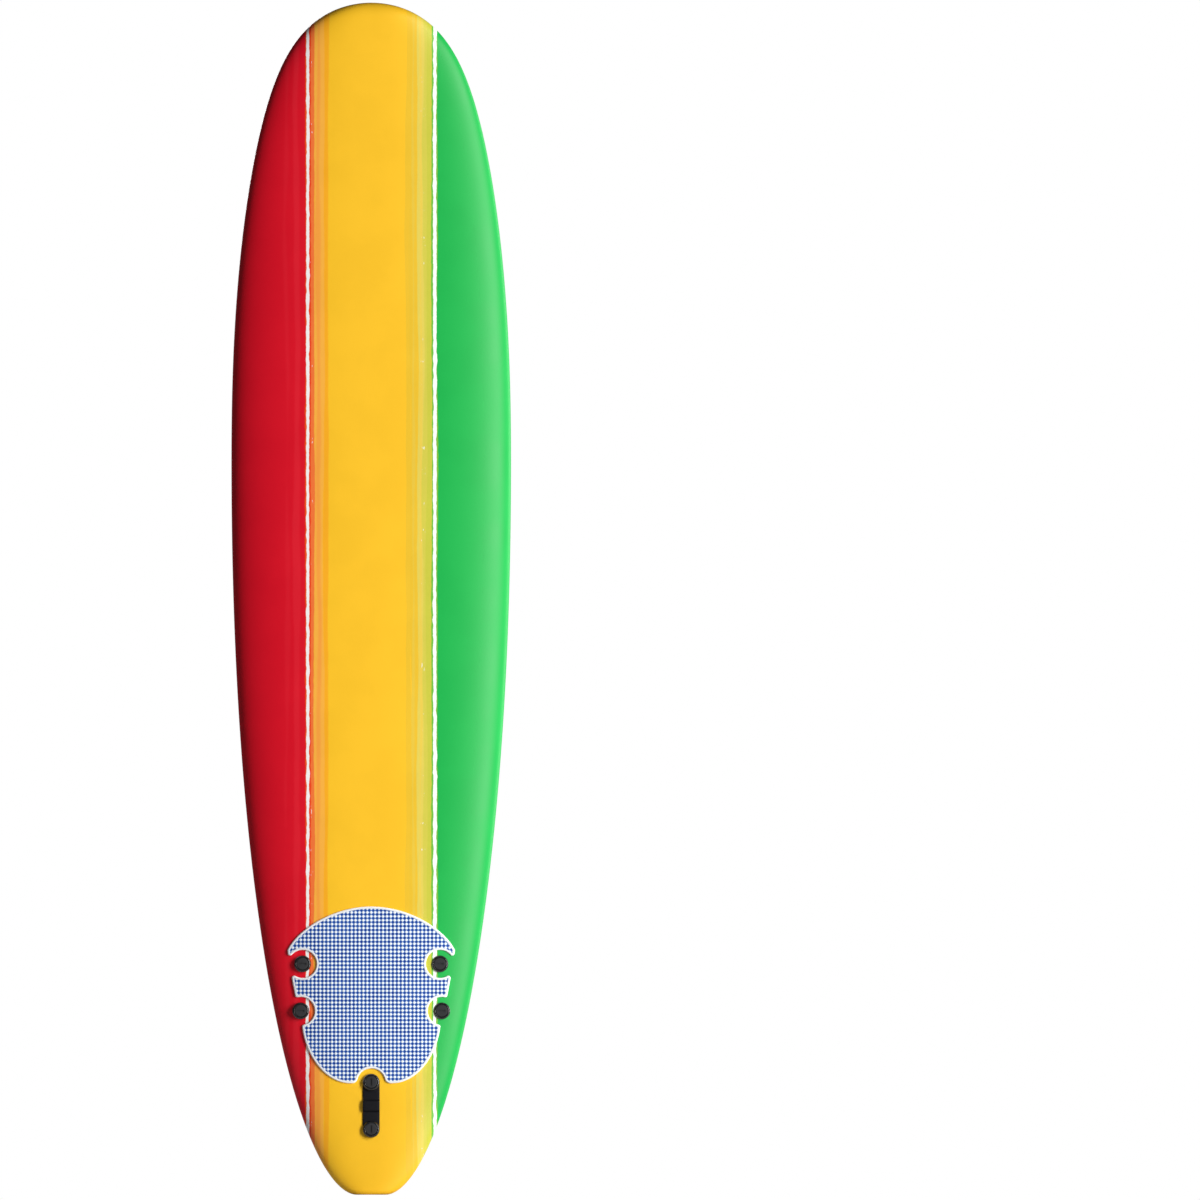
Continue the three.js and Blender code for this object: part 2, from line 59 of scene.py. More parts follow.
bl_info = {
    "name": "Soft-Top Surfboard",
    "version": (1, 0, 0),
    "blender": (4, 5, 0),
    "location": "View3D > Sidebar > Surfboard",
    "description": "Builds a soft-top surfboard with its pad, strap, fins and fin bolts",
    "category": "Add Mesh",
}

MM = 0.001

# Exponents and shares of the outline, the profile and the section
TAIL_POWER = 2.1
TAIL_FULLNESS = 1.87
NOSE_SHARE = 0.773
NOSE_POWER = 2.28
NOSE_TIP_POWER = 12
TAIL_THIN_POWER = 2.5
NOSE_THIN_POWER = 2.3
TAIL_ROCKER_POWER = 2.5
NOSE_ROCKER_POWER = 2.35
TAIL_FACE_SHARE = 0.6
APEX_SHARE = 0.36
FLAT_LIMIT = 0.9
DOME_POWER = 3
TINY = 1e-7
HALVINGS = 40

# Each layer is the board's own surface, set in at the rails, the ends, the deck and the bottom.
OUTER = (0.0, 0.0, 0.0, 0.0)
SKIN = 5.0 * MM
SLICK = 1.5 * MM
CORE_ROOM = (SKIN, SKIN, SKIN, SLICK)
RIM = 11 * MM
SLICK_END = 6 * MM
GAP = 0.3 * MM

# Fin boxes
SIDE_FIN_HEIGHT = 420.5 * MM
SIDE_FIN_OUT = 142.4 * MM
SIDE_FIN_TOE = math.radians(2.3)
CENTRE_FIN_HEIGHT = 177 * MM
SLEEVE_HOLE = 10.3 * MM
POST_RADIUS = 7 * MM
POST_HEAD = 3 * MM
BOLT_FOOT = 4 * MM
SHANK_RADIUS = 4 * MM

# Strap
STRAP_THICKNESS = 2.6 * MM
STRAP_LOOP = 10 * MM
STRAP_RAMP = 4 * MM
STRAP_LIFT = 4.8 * MM
STRAP_BEVEL = 1.6 * MM
STRAP_BEVEL_SHARES = (1.0, 0.5, 0.2, 0.0)
STRAP_BEVEL_DROPS = (0.0, 0.13, 0.5, 1.1)
CREASE_DEPTH = 1.0 * MM
CREASE_WIDTH = 1.3 * MM
STRAP_TIP_HALF = 0.3 * MM

# Washer
WASHER_FLOOR = 3.4 * MM
WASHER_BEVEL = 2.4 * MM
WASHER_WALL_FOOT = 4 * MM
WASHER_LINING = 2 * MM
WASHER_ROUNDING = 0.7 * MM
WASHER_LIP = 0.2 * MM

# Bolt
HEAD_DROP = 3.1 * MM
HEAD_HEIGHT = 3 * MM
HEAD_ROUNDING = 1.1 * MM
THREAD_PITCH = 1.5 * MM
THREAD_DEPTH = 0.32 * MM
THREAD_FADE = 2 * MM
THREAD_TOP = 6 * MM
THREAD_RINGS = 6
BOLT_POINT = 0.9 * MM
SLOT_HALF_LENGTH = 7.5 * MM
SLOT_HALF_WIDTH = 1.6 * MM
SLOT_FLOOR = 1.0 * MM
SLOT_TOP = 5 * MM

# Pad, with the heights and half widths of its outline in millimetres
PAD_THICKNESS = 4 * MM
PAD_TOP = 589.5
PAD_SHOULDER = 500
PAD_WAIST = 342
PAD_FOOT = 228
PAD_SHOULDER_HALF = 171.4
PAD_WAIST_HALF = 141
PAD_FOOT_HALF = 42.6
PAD_HOLE = 28.7 * MM
PAD_SIDE_LIP = 5 * MM
PAD_CENTRE_LIP = 12 * MM
PAD_BEVEL = 1.6 * MM
PAD_BORDER_OUTER = 5.4 * MM
PAD_BORDER_INNER = 3.8 * MM
PAD_ROOM_HALF = 0.176
PAD_ROOM_LOW = 0.222
PAD_ROOM_HIGH = 0.596
PAD_CENTRE = 0.4
BLOCK_HALF = 0.2
BLOCK_LOW = 0.2
BLOCK_HIGH = 0.62
ROWS_PER_CELL = 6
BURIED = 60 * MM

# Fin
BASE_LENGTH = 145 * MM
BASE_HALF = 17.2 * MM
BASE_THICKNESS = 4.6 * MM
BLADE_ROOT = 7.6 * MM
BLADE_TIP = 3.6 * MM
BLADE_HEIGHT = 101 * MM
BLADE_FOOT = 2.3 * MM
BLADE_CROWN = 0.05 * MM
NOSE_ROUNDING = 10 * MM
REAR_ROUNDING = 16 * MM
CROWN_ROUNDING = 5 * MM
FILLET = 2.4 * MM
FILLET_HEIGHT = 6 * MM
BASE_ROUNDING = 2.4 * MM
BASE_CHAMFER = 0.4 * MM
BASE_LID = 6 * MM

STRAPPED = ("centre_front", "centre_rear")

# Angles past which an edge is kept sharp, in degrees
SHARP = 40
SHARP_TURNED = 50
SHARP_FIN = 32

# Studio: name, place, aim, width and height, and power in watts
MIDDLE = (0.0, 0.0, 1.2)
LIGHTS = (
    ("key_light", (3.75, -3.38, 1.5), MIDDLE, (1.2, 4.4), 372),
    ("rail_light", (4.3, 2.0, 1.5), MIDDLE, (1.6, 4.2), 150),
    ("back_light", (-1.4, 4.4, 2.9), (0.0, 0.0, 1.0), (1.6, 1.6), 128),
)
FILL_STRENGTH = 0.1
CAMERA_PLACE = (0.468, -8.0, 1.2165)
CAMERA_SPAN = 2.4547
CAMERA_REACH = 60.0
FLOOR_REACH = 30.0
FLOOR_FADE = (3.2, 0.6)
FLOOR_ALPHA = 0.6


# ---- settings a user would change ----


def length_setting(name, text, default):
    """A length that a user may change, in metres."""
    return bpy.props.FloatProperty(
        name=name,
        description=text,
        default=default,
        min=0.0,
        subtype="DISTANCE",
        unit="LENGTH",
    )


def colour_setting(name, text, red, green, blue):
    """A colour that a user may change, given as it looks on a screen."""
    return bpy.props.FloatVectorProperty(
        name=name,
        description=text,
        default=linear(red, green, blue),
        size=4,
        min=0.0,
        max=1.0,
        subtype="COLOR",
    )


def linear(red, green, blue):
    """Scene colour of a paint that is given as it looks on a screen, from 0 to 255."""
    shares = np.array([red, green, blue]) / 255
    low = shares / 12.92
    high = ((shares + 0.055) / 1.055) ** 2.4
    return (*[float(v) for v in np.where(shares <= 0.04045, low, high)], 1.0)


class BoardShape(bpy.types.PropertyGroup):
    """Sizes of the board itself."""

    length: length_setting("Length", "Tail to nose", 2.4384)
    half_width: length_setting("Half width", "Stringer to rail at the wide point", 0.286)
    wide_point: length_setting("Wide point", "Height of the widest section above the tail", 1.5)
    tail_half: length_setting("Tail half width", "Half of the flat tail end", 0.03)
    thickness: length_setting("Thickness", "Deck to bottom at the thick point", 0.0825)
    thick_point: length_setting("Thick point", "Height of the thickest section", 1.35)
    tail_thinning: length_setting("Tail thinning", "Thickness lost at the tail", 0.0495)
    nose_thinning: length_setting("Nose thinning", "Thickness lost at the nose", 0.0485)
    belly_low: length_setting("Belly start", "Where the tail rocker ends", 1.13)
    belly_high: length_setting("Belly end", "Where the nose rocker starts", 1.3)
    tail_rocker: length_setting("Tail rocker", "Lift of the tail", 0.057)
    nose_rocker: length_setting("Nose rocker", "Lift of the nose", 0.123)
    nose_radius: length_setting("Nose radius", "Rounding of the nose tip in profile", 0.03)
    tail_radius: length_setting("Tail radius", "Rounding of the tail edge in profile", 0.009)
    rail_tuck: length_setting("Rail tuck", "Width of the curved part of the bottom", 0.018)


class HardwareSizes(bpy.types.PropertyGroup):
    """Sizes of the fin bolts, their washers, the strap and the pad's cells."""

    bolt_spacing: length_setting("Bolt spacing", "Between the two bolts of a fin", 0.096)
    washer_radius: length_setting("Washer radius", "Outside of the cup washer", 0.0172)
    washer_rise: length_setting("Washer rise", "Washer's top above what it sits on", 0.0058)
    head_radius: length_setting("Head radius", "Slotted head of the bolt", 0.0122)
    strap_half: length_setting("Strap half width", "Half the leash strap's width", 0.0172)
    cell_pitch: length_setting("Cell pitch", "From one cell of the grip pad to the next", 0.00802)
    cell_depth: length_setting("Cell depth", "Depth of the grooves of the grip pad", 0.0009)


class BoardColours(bpy.types.PropertyGroup):
    """Colours of the printed deck, the bottom, the pad and the mouldings."""

    red: colour_setting("Red", "Left rail", 229, 8, 36)
    light_red: colour_setting("Light red", "Brush marks in the red", 238, 42, 58)
    flame: colour_setting("Flame", "Thin edges of the left pinstripe", 244, 62, 12)
    salmon: colour_setting("Salmon", "First orange band", 250, 120, 56)
    peach: colour_setting("Peach", "Second orange band", 255, 182, 68)
    amber: colour_setting("Amber", "Edge between orange and yellow", 255, 174, 28)
    yellow: colour_setting("Yellow", "Middle of the deck", 255, 198, 36)
    mustard: colour_setting("Mustard", "First band right of the yellow", 236, 192, 44)
    straw: colour_setting("Straw", "Pale yellow-green band", 227, 206, 86)
    lime: colour_setting("Lime", "Yellow-green band", 201, 200, 62)
    leaf: colour_setting("Leaf", "Thin edges of the right pinstripe", 92, 184, 56)
    green: colour_setting("Green", "Right rail", 8, 176, 72)
    white: colour_setting("White", "Pinstripes", 252, 252, 250)
    bottom: colour_setting("Bottom", "Slick sheet", 240, 239, 245)
    pad_white: colour_setting("Pad cells", "Raised cells and border of the pad", 250, 252, 253)
    pad_blue: colour_setting("Pad grooves", "Between the cells of the pad", 14, 66, 156)
    pad_ties: colour_setting("Pad ties", "Slopes between neighbouring cells", 120, 160, 212)
    black: colour_setting("Black", "Fins and washers", 18, 18, 20)
    rubber: colour_setting("Rubber", "Leash strap", 12, 12, 18)


def shape_of():
    return bpy.context.scene.surfboard_shape


def sizes_of():
    return bpy.context.scene.surfboard_sizes


def colours_of():
    return bpy.context.scene.surfboard_colours


# ---- the board's own surface ----


def half_width(z, side=0.0, end=0.0):
    """Half the outline's width at height z, set in by side and end.

    Ahead of the wide point it is the half width times the root of one minus two powers of the
    way to the nose; behind it, one minus a power of the way to the tail, to another power,
    shares out the width beyond the flat tail end."""
    s = shape_of()
    middle = s.length / 2
    along = middle + (z - middle) * s.length / (s.length - 2 * end)
    u = np.clip((along - s.wide_point) / (s.length - s.wide_point), 0, 1)
    lost = NOSE_SHARE * u**NOSE_POWER + (1 - NOSE_SHARE) * u**NOSE_TIP_POWER
    nose = (s.half_width - side) * np.sqrt(np.maximum(0, 1 - lost))
    v = np.clip((s.wide_point - along) / s.wide_point, 0, 1)
    share = (1 - v**TAIL_POWER) ** (1 / TAIL_FULLNESS)
    tail = s.tail_half + (s.half_width - s.tail_half) * share
    return np.where(along > s.wide_point, nose, (1 - side / s.half_width) * tail)


def rocker(z):
    """Lift of the bottom above the belly: a power of the distance past either end of the belly."""
    s = shape_of()
    ahead = np.clip((z - s.belly_high) / (s.length - s.belly_high), 0, 1)
    behind = np.clip((s.belly_low - z) / s.belly_low, 0, 1)
    return s.nose_rocker * ahead**NOSE_ROCKER_POWER + s.tail_rocker * behind**TAIL_ROCKER_POWER


def thickness(z):
    """Full thickness at the thick point, thinned by a power of the way to either end."""
    s = shape_of()
    ahead = np.clip((z - s.thick_point) / (s.length - s.thick_point), 0, 1)
    behind = np.clip((s.thick_point - z) / s.thick_point, 0, 1)
    thinner = s.nose_thinning * ahead**NOSE_THIN_POWER + s.tail_thinning * behind**TAIL_THIN_POWER
    return s.thickness - thinner


def end_share(z, end):
    """Share of the thickness left near the ends: a quarter circle at the nose and the tail edge."""
    s = shape_of()
    tip = s.nose_radius - end
    over = np.clip((tip - (s.length - end - z)) / tip, 0, 1)
    edge = s.tail_radius - min(end, s.tail_radius / 2)
    under = np.clip((edge - (z - end)) / edge, 0, 1)
    tail = 1 - (1 - TAIL_FACE_SHARE) * (1 - np.sqrt(1 - under**2))
    return np.sqrt(1 - over**2) * tail


def levels(z, inset=OUTER):
    """What fixes a section: half width, half the flat bottom, and apex, bottom and deck heights."""
    s = shape_of()
    side, end, deck, bottom = inset
    half = np.maximum(half_width(z, side, end), TINY)
    flat = half_width(z) - s.rail_tuck * thickness(z) / s.thickness
    flat = np.clip(flat, 0, half * FLAT_LIMIT)
    apex = rocker(z) + APEX_SHARE * thickness(z)
    share = end_share(z, end)
    low = apex - (apex - rocker(z) - bottom) * share
    high = apex + (rocker(z) + thickness(z) - deck - apex) * share
    return half, flat, apex, low, high


def deck_height(x, z, inset=OUTER):
    """Height of the deck: a dome that falls with the cube of the way out to the rail."""
    half, _, apex, _, high = levels(z, inset)
    u = np.minimum(1, np.abs(x) / half)
    return apex + (high - apex) * np.sqrt(1 - u**DOME_POWER)


def bottom_height(x, z, inset=OUTER):
    """Height of the bottom: flat, then a quarter ellipse up to the rail's apex."""
    half, flat, apex, low, _ = levels(z, inset)
    into = np.clip((np.abs(x) - flat) / (half - flat), 0, 1)
    return apex - (apex - low) * np.sqrt(1 - into**2)


def datum():
    """Height of the middle of the flat tail end, which is the origin of the frame."""
    s = shape_of()
    end = s.thickness - s.tail_thinning
    return s.tail_rocker + APEX_SHARE * end + TAIL_FACE_SHARE * (0.5 - APEX_SHARE) * end


def points_at(x, height, z):
    """Places in the frame for heights above the belly: the deck faces -Y."""
    x, height, z = np.broadcast_arrays(x, height, z)
    return np.stack([x, datum() - height, z], axis=-1)


def stations(low, high, count):
    """Heights from low to high, close together at both ends, as a half circle's shadow is."""
    turn = np.linspace(0, math.pi, count)
    return low + (high - low) * (1 - np.cos(turn)) / 2


def board_rings(inset, count, dome_steps, tuck_steps, flat_steps):
    """Closed sections of the board from tail to nose.

    Across the deck x follows a sine out to the rail; the tuck is a quarter ellipse down to the
    flat bottom, which is then divided evenly."""
    length = shape_of().length
    z = stations(inset[1], length - inset[1], count)[:, None]
    half, flat, apex, low, high = levels(z, inset)
    out = np.sin(np.linspace(1, 0, dome_steps + 1) * math.pi / 2)
    deck_x = half * out
    deck_y = apex + (high - apex) * np.sqrt(np.maximum(0, 1 - out**DOME_POWER))
    turn = np.linspace(0, math.pi / 2, tuck_steps + 1)[1:][::-1]
    tuck_x = flat + (half - flat) * np.cos(turn)
    tuck_y = apex - (apex - low) * np.sin(turn)
    flat_x = flat * np.linspace(0, 1, flat_steps + 1)[:-1]
    flat_y = low + 0 * flat_x
    x = np.hstack([deck_x, -deck_x[:, -2::-1], -tuck_x[:, ::-1], -flat_x[:, :0:-1], flat_x, tuck_x])
    y = np.hstack([deck_y, deck_y[:, -2::-1], tuck_y[:, ::-1], flat_y[:, :0:-1], flat_y, tuck_y])
    return points_at(x, y, z)


# ---- meshes ----


def ring_faces(rings, around):
    """Four-cornered faces between neighbouring rings of points, closed round each ring."""
    row = np.arange(rings - 1)[:, None] * around
    here = np.arange(around)[None, :]
    after = (here + 1) % around
    corners = [row + here, row + after, row + around + after, row + around + here]
    return np.stack(np.broadcast_arrays(*corners), axis=-1).reshape(-1, 4)


def fan_faces(pole, first, around, turned_over):
    """Three-cornered faces from a pole to the ring that starts at index first."""
    here = first + np.arange(around)
    after = first + (np.arange(around) + 1) % around
    pair = (after, here) if turned_over else (here, after)
    return np.stack([np.full(around, pole), *pair], axis=-1)


def signed_volume(points, faces):
    """Volume inside the faces: positive when they face outwards."""
    total = 0.0
    for block in faces:
        a = points[block[:, 0]]
        for k in range(1, block.shape[1] - 1):
            b, c = points[block[:, k]], points[block[:, k + 1]]
            total += np.einsum("ij,ij->", a, np.cross(b, c)) / 6
    return total


def new_mesh(name, points, faces, smooth_angle=SHARP):
    """Mesh of a closed surface whose faces are turned outwards, smooth but for its sharp edges."""
    points = points.reshape(-1, 3)
    if signed_volume(points, faces) < 0:
        faces = [block[:, ::-1] for block in faces]
    mesh = bpy.data.meshes.new(name)
    counts = np.concatenate([np.full(len(block), block.shape[1]) for block in faces])
    corners = np.concatenate([block.ravel() for block in faces])
    mesh.vertices.add(len(points))
    mesh.vertices.foreach_set("co", points.astype(np.float32).ravel())
    mesh.loops.add(len(corners))
    mesh.loops.foreach_set("vertex_index", corners.astype(np.int32))
    mesh.polygons.add(len(counts))
    starts = np.concatenate([[0], np.cumsum(counts)[:-1]])
    mesh.polygons.foreach_set("loop_start", starts.astype(np.int32))
    mesh.update(calc_edges=True)
    mesh.validate()
    soften(mesh, smooth_angle)
    return mesh


def soften(mesh, angle):
    """Shades a mesh smooth, but for edges that turn by more than the angle in degrees."""
    mesh.shade_smooth()
    mesh.set_sharp_from_angle(angle=math.radians(angle))


def new_piece(name, mesh):
    piece = bpy.data.objects.new(name, mesh)
    bpy.context.scene.collection.objects.link(piece)
    return piece


def lofted(rings, poles=True):
    """Points and faces of a closed surface through rings, with a pole at the middle of each end."""
    count, around = rings.shape[:2]
    points = rings.reshape(-1, 3)
    faces = [ring_faces(count, around)]
    if poles:
        ends = [rings[0].mean(axis=0), rings[-1].mean(axis=0)]
        faces.append(fan_faces(len(points), 0, around, True))
        faces.append(fan_faces(len(points) + 1, (count - 1) * around, around, False))
        points = np.vstack([points, *ends])
    return points, faces


def lidded(rings, shares=(0.3, 0.6, 0.85)):
    """Rings with a few more in their first face, drawn in towards its middle."""
    middle = rings[0].mean(axis=0)
    lid = [middle + (rings[0] - middle) * share for share in shares]
    return np.concatenate([np.stack(lid), rings])


def placed(points, matrix):
    """Points of a bolt's or fin's own frame, in the board's frame."""
    return points @ matrix[:3, :3].T + matrix[:3, 3]


def cut(piece, cutter, operation="DIFFERENCE", smooth_angle=SHARP):
    """Takes a closed solid away from a piece, or joins it, and leaves a plain mesh."""
    change = piece.modifiers.new("cut", "BOOLEAN")
    change.operation = operation
    change.solver = "MANIFOLD"
    change.object = cutter
    bpy.context.view_layer.update()
    graph = bpy.context.evaluated_depsgraph_get()
    mesh = bpy.data.meshes.new_from_object(piece.evaluated_get(graph))
    if not mesh.polygons:
        raise RuntimeError(f"{piece.name}: nothing is left after the {operation.lower()}")
    piece.modifiers.clear()
    before = piece.data
    mesh.name = before.name
    piece.data = mesh
    bpy.data.meshes.remove(before)
    tool = cutter.data
    bpy.data.objects.remove(cutter)
    bpy.data.meshes.remove(tool)
    soften(mesh, smooth_angle)
    return piece


def vertex_places(mesh):
    """Every vertex of a mesh as one row of an array."""
    place = np.zeros(len(mesh.vertices) * 3, np.float32)
    mesh.vertices.foreach_get("co", place)
    return place.reshape(-1, 3).astype(float)


def lid_faces(rings, around):
    """One many-cornered face on the first ring and one on the last."""
    corner = np.arange(around)
    return np.array([corner[::-1], corner + (rings - 1) * around])


def joined(name, solids):
    """One piece from several separate closed surfaces."""
    points = []
    faces = []
    shift = 0
    for each_points, each_faces in solids:
        flip = signed_volume(each_points, each_faces) < 0
        for block in each_faces:
            faces.append((block[:, ::-1] if flip else block) + shift)
        points.append(each_points)
        shift += len(each_points)
    return new_piece(name, new_mesh(name, np.vstack(points), faces))


def finished(piece, body, material, replaced):
    """Puts a piece on its body, in place of its CAD nodes, with its material."""
    piece.data.materials.clear()
    piece.data.materials.append(material)
    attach(piece, body)
    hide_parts(*replaced)
    return piece


# ---- frames of the fins and the bolts ----


def fin_matrix(x, z, toe):
    """A fin's own frame: X aft along the bottom, Y out of it, turned in by its toe."""
    step = MM
    slope = float(rocker(z + step) - rocker(z - step)) / (2 * step)
    out = np.array([0, 1, slope]) / math.hypot(1, slope)
    aft = np.array([0, slope, -1]) / math.hypot(1, slope)
    turn = -math.copysign(toe, x)
    aft = aft * math.cos(turn) + np.cross(out, aft) * math.sin(turn)
    matrix = np.eye(4)
    matrix[:3, 0] = aft
    matrix[:3, 1] = out
    matrix[:3, 2] = np.cross(aft, out)
    matrix[:3, 3] = points_at(x, float(bottom_height(x, z)), z)
    return matrix


def fin_matrices():
    """The frames of the three fins by name."""
    return {
        "left": fin_matrix(-SIDE_FIN_OUT, SIDE_FIN_HEIGHT, SIDE_FIN_TOE),
        "centre": fin_matrix(0.0, CENTRE_FIN_HEIGHT, 0.0),
        "right": fin_matrix(SIDE_FIN_OUT, SIDE_FIN_HEIGHT, SIDE_FIN_TOE),
    }


def bolt_matrices():
    """Each bolt's frame: its fin's frame moved half the spacing forward or aft."""
    half = sizes_of().bolt_spacing / 2
    found = {}
    for fin, matrix in fin_matrices().items():
        for name, shift in (("front", -half), ("rear", half)):
            bolt = matrix.copy()
            bolt[:3, 3] += matrix[:3, 0] * shift
            found[f"{fin}_{name}"] = bolt
    return found


def deck_along(matrix, u=0.0, w=0.0):
    """Distance along a bolt from the bottom to the deck, at u and w off its axis.

    The interval that holds the crossing is halved again and again."""
    u, w = np.broadcast_arrays(np.asarray(u, float), np.asarray(w, float))
    base = matrix[:3, 3] + u[..., None] * matrix[:3, 0] + w[..., None] * matrix[:3, 2]
    low = np.zeros(u.shape)
    high = np.full(u.shape, 2 * shape_of().thickness)
    for _ in range(HALVINGS):
        middle = (low + high) / 2
        at = base - middle[..., None] * matrix[:3, 1]
        inside = datum() - at[..., 1] < deck_height(at[..., 0], at[..., 2])
        low = np.where(inside, middle, low)
        high = np.where(inside, high, middle)
    return (low + high) / 2


def on_deck(matrix):
    """Where a bolt's axis leaves the deck."""
    return matrix[:3, 3] - float(deck_along(matrix)) * matrix[:3, 1]


def turned_rings(profile, around):
    """Rings of a turned shape from its (radius, height) profile, height along local -Y."""
    turn = np.linspace(0, 2 * math.pi, around, endpoint=False)
    radius, height = profile[:, 0:1], profile[:, 1:2]
    return np.stack(
        np.broadcast_arrays(radius * np.cos(turn), -height, radius * np.sin(turn)), axis=-1
    )


def rod(matrix, radius, low, high, around=48):
    """Closed cylinder along a bolt, from height low to high."""
    profile = np.array([[radius, low], [radius, high]])
    points, faces = lofted(turned_rings(profile, around))
    return placed(points, matrix), faces


def softened(corners, radius, steps=4):
    """Profile with each inner corner replaced by a curve that leaves it by up to radius."""
    corners = np.asarray(corners, float)
    before, at, after = corners[:-2], corners[1:-1], corners[2:]
    into, onto = before - at, after - at
    into_length = np.linalg.norm(into, axis=1, keepdims=True)
    onto_length = np.linalg.norm(onto, axis=1, keepdims=True)
    start = at + into / into_length * np.minimum(radius, 0.45 * into_length)
    stop = at + onto / onto_length * np.minimum(radius, 0.45 * onto_length)
    t = np.linspace(0, 1, steps + 1)[None, :, None]
    curve = (1 - t) ** 2 * start[:, None] + 2 * t * (1 - t) * at[:, None] + t**2 * stop[:, None]
    return np.vstack([corners[:1], curve.reshape(-1, 2), corners[-1:]])


def cubic(a, b, c, d, count):
    """Points along a cubic curve with two control points, its last point left out."""
    t = np.linspace(0, 1, count, endpoint=False)[:, None]
    a, b, c, d = (np.asarray(p, float) for p in (a, b, c, d))
    return (1 - t) ** 3 * a + 3 * t * (1 - t) ** 2 * b + 3 * t**2 * (1 - t) * c + t**3 * d


def quadratic(a, b, c, count):
    """Points along a curve with one control point, its last point left out."""
    t = np.linspace(0, 1, count, endpoint=False)[:, None]
    a, b, c = (np.asarray(p, float) for p in (a, b, c))
    return (1 - t) ** 2 * a + 2 * t * (1 - t) * b + t**2 * c


# ---- the board ----


def bottom_plate(low, high, room, count, across):
    """Plate in the bottom's surface, from low to high above it, inside the rim of the deck skin."""
    length = shape_of().length
    z = stations(SLICK_END - room, length - SLICK_END + room, count)[:, None]
    edge = np.maximum(half_width(z, RIM - room, SLICK_END - room), 4 * TINY)
    x = edge * np.sin(np.linspace(-1, 1, across) * math.pi / 2)
    lower = points_at(x, bottom_height(x, z) + low, z)
    upper = points_at(x, bottom_height(x, z) + high, z)
    return np.concatenate([lower, upper[:, ::-1]], axis=1)


def sleeve_holes():
    """Rods through the board, one for each sleeve, as one cutter."""
    reach = shape_of().thickness
    rods = [
        rod(matrix, SLEEVE_HOLE, -reach / 2, float(deck_along(matrix)) + reach / 2)
        for matrix in bolt_matrices().values()
    ]
    return joined("holes", rods)


def make_deck_skin():
    """The board's surface less the room inside it, the window for the bottom sheet and the holes."""
    rings = board_rings(OUTER, 250, 60, 14, 8)
    piece = new_piece("foam_deck", new_mesh("foam_deck", *lofted(lidded(rings))))
    inside = board_rings(CORE_ROOM, 90, 20, 6, 4)
    cut(piece, new_piece("inside", new_mesh("inside", *lofted(inside))))
    window = bottom_plate(-SKIN, 2 * SKIN, GAP, 160, 24)
    cut(piece, new_piece("window", new_mesh("window", *lofted(window))))
    return cut(piece, sleeve_holes())


def make_bottom_sheet():
    """Thin plate that follows the bottom, with holes for the sleeves."""
    rings = bottom_plate(0.0, SLICK, 0.0, 200, 48)
    piece = new_piece("slick_bottom", new_mesh("slick_bottom", *lofted(rings)))
    return cut(piece, sleeve_holes())


# ---- the grip pad ----


def pad_outline():
    """Outline of the pad seen from the deck, in metres, clockwise from the top."""
    right = np.vstack(
        [
            cubic(
                (0, PAD_TOP),
                (75, PAD_TOP),
                (150, PAD_SHOULDER + 45),
                (PAD_SHOULDER_HALF, PAD_SHOULDER),
                60,
            ),
            quadratic(
                (PAD_SHOULDER_HALF, PAD_SHOULDER),
                (PAD_SHOULDER_HALF - 11, (PAD_SHOULDER + PAD_WAIST) / 2),
                (PAD_WAIST_HALF, PAD_WAIST),
                40,
            ),
            cubic(
                (PAD_WAIST_HALF, PAD_WAIST),
                (PAD_WAIST_HALF - 7, PAD_FOOT + 57),
                (PAD_FOOT_HALF + 52, PAD_FOOT),
                (PAD_FOOT_HALF, PAD_FOOT),
                50,
            ),
            [(PAD_FOOT_HALF, PAD_FOOT)],
        ]
    )
    left = right[:0:-1] * [-1, 1]
    return np.vstack([right, left]) * MM


def nearest_on(outline, place):
    """Nearest point of a closed outline to a place."""
    ahead = np.roll(outline, -1, axis=0) - outline
    share = np.sum((place - outline) * ahead, axis=1) / np.sum(ahead**2, axis=1)
    near = outline + np.clip(share, 0, 1)[:, None] * ahead
    return near[np.argmin(np.linalg.norm(near - place, axis=1))]


def notch_outline(centre, lip):
    """Round hole of the pad, open to the nearest edge, its mouth rounded by two lips.

    Each lip is a circle that touches both the hole and the pad's edge."""
    towards = nearest_on(pad_outline(), centre) - centre
    reach = float(np.linalg.norm(towards))
    along = towards / reach
    aside = np.array([-along[1], along[0]])
    lip_along = reach - lip
    lip_aside = math.sqrt((PAD_HOLE + lip) ** 2 - lip_along**2)
    meet = math.atan2(lip_aside, lip_along)
    turn = np.linspace(meet, 2 * math.pi - meet, 70)
    hole = np.stack([np.cos(turn), np.sin(turn)], axis=-1) * PAD_HOLE
    curl = np.linspace(meet + math.pi, 2 * math.pi, 16)[1:]
    upper = np.stack([lip_along + lip * np.cos(curl), lip_aside + lip * np.sin(curl)], axis=-1)
    far = np.array([[reach + BURIED, lip_aside]])
    upper = np.vstack([upper, far])
    shape = np.vstack([hole, upper * [1, -1], upper[::-1]])
    return centre + shape[:, :1] * along + shape[:, 1:] * aside


def notches():
    """Outline of each of the pad's notches; the one round the strap has wider lips."""
    found = []
    for name, matrix in bolt_matrices().items():
        if name != "centre_rear":
            lip = PAD_CENTRE_LIP if name in STRAPPED else PAD_SIDE_LIP
            found.append(notch_outline(on_deck(matrix)[[0, 2]], lip))
    return found


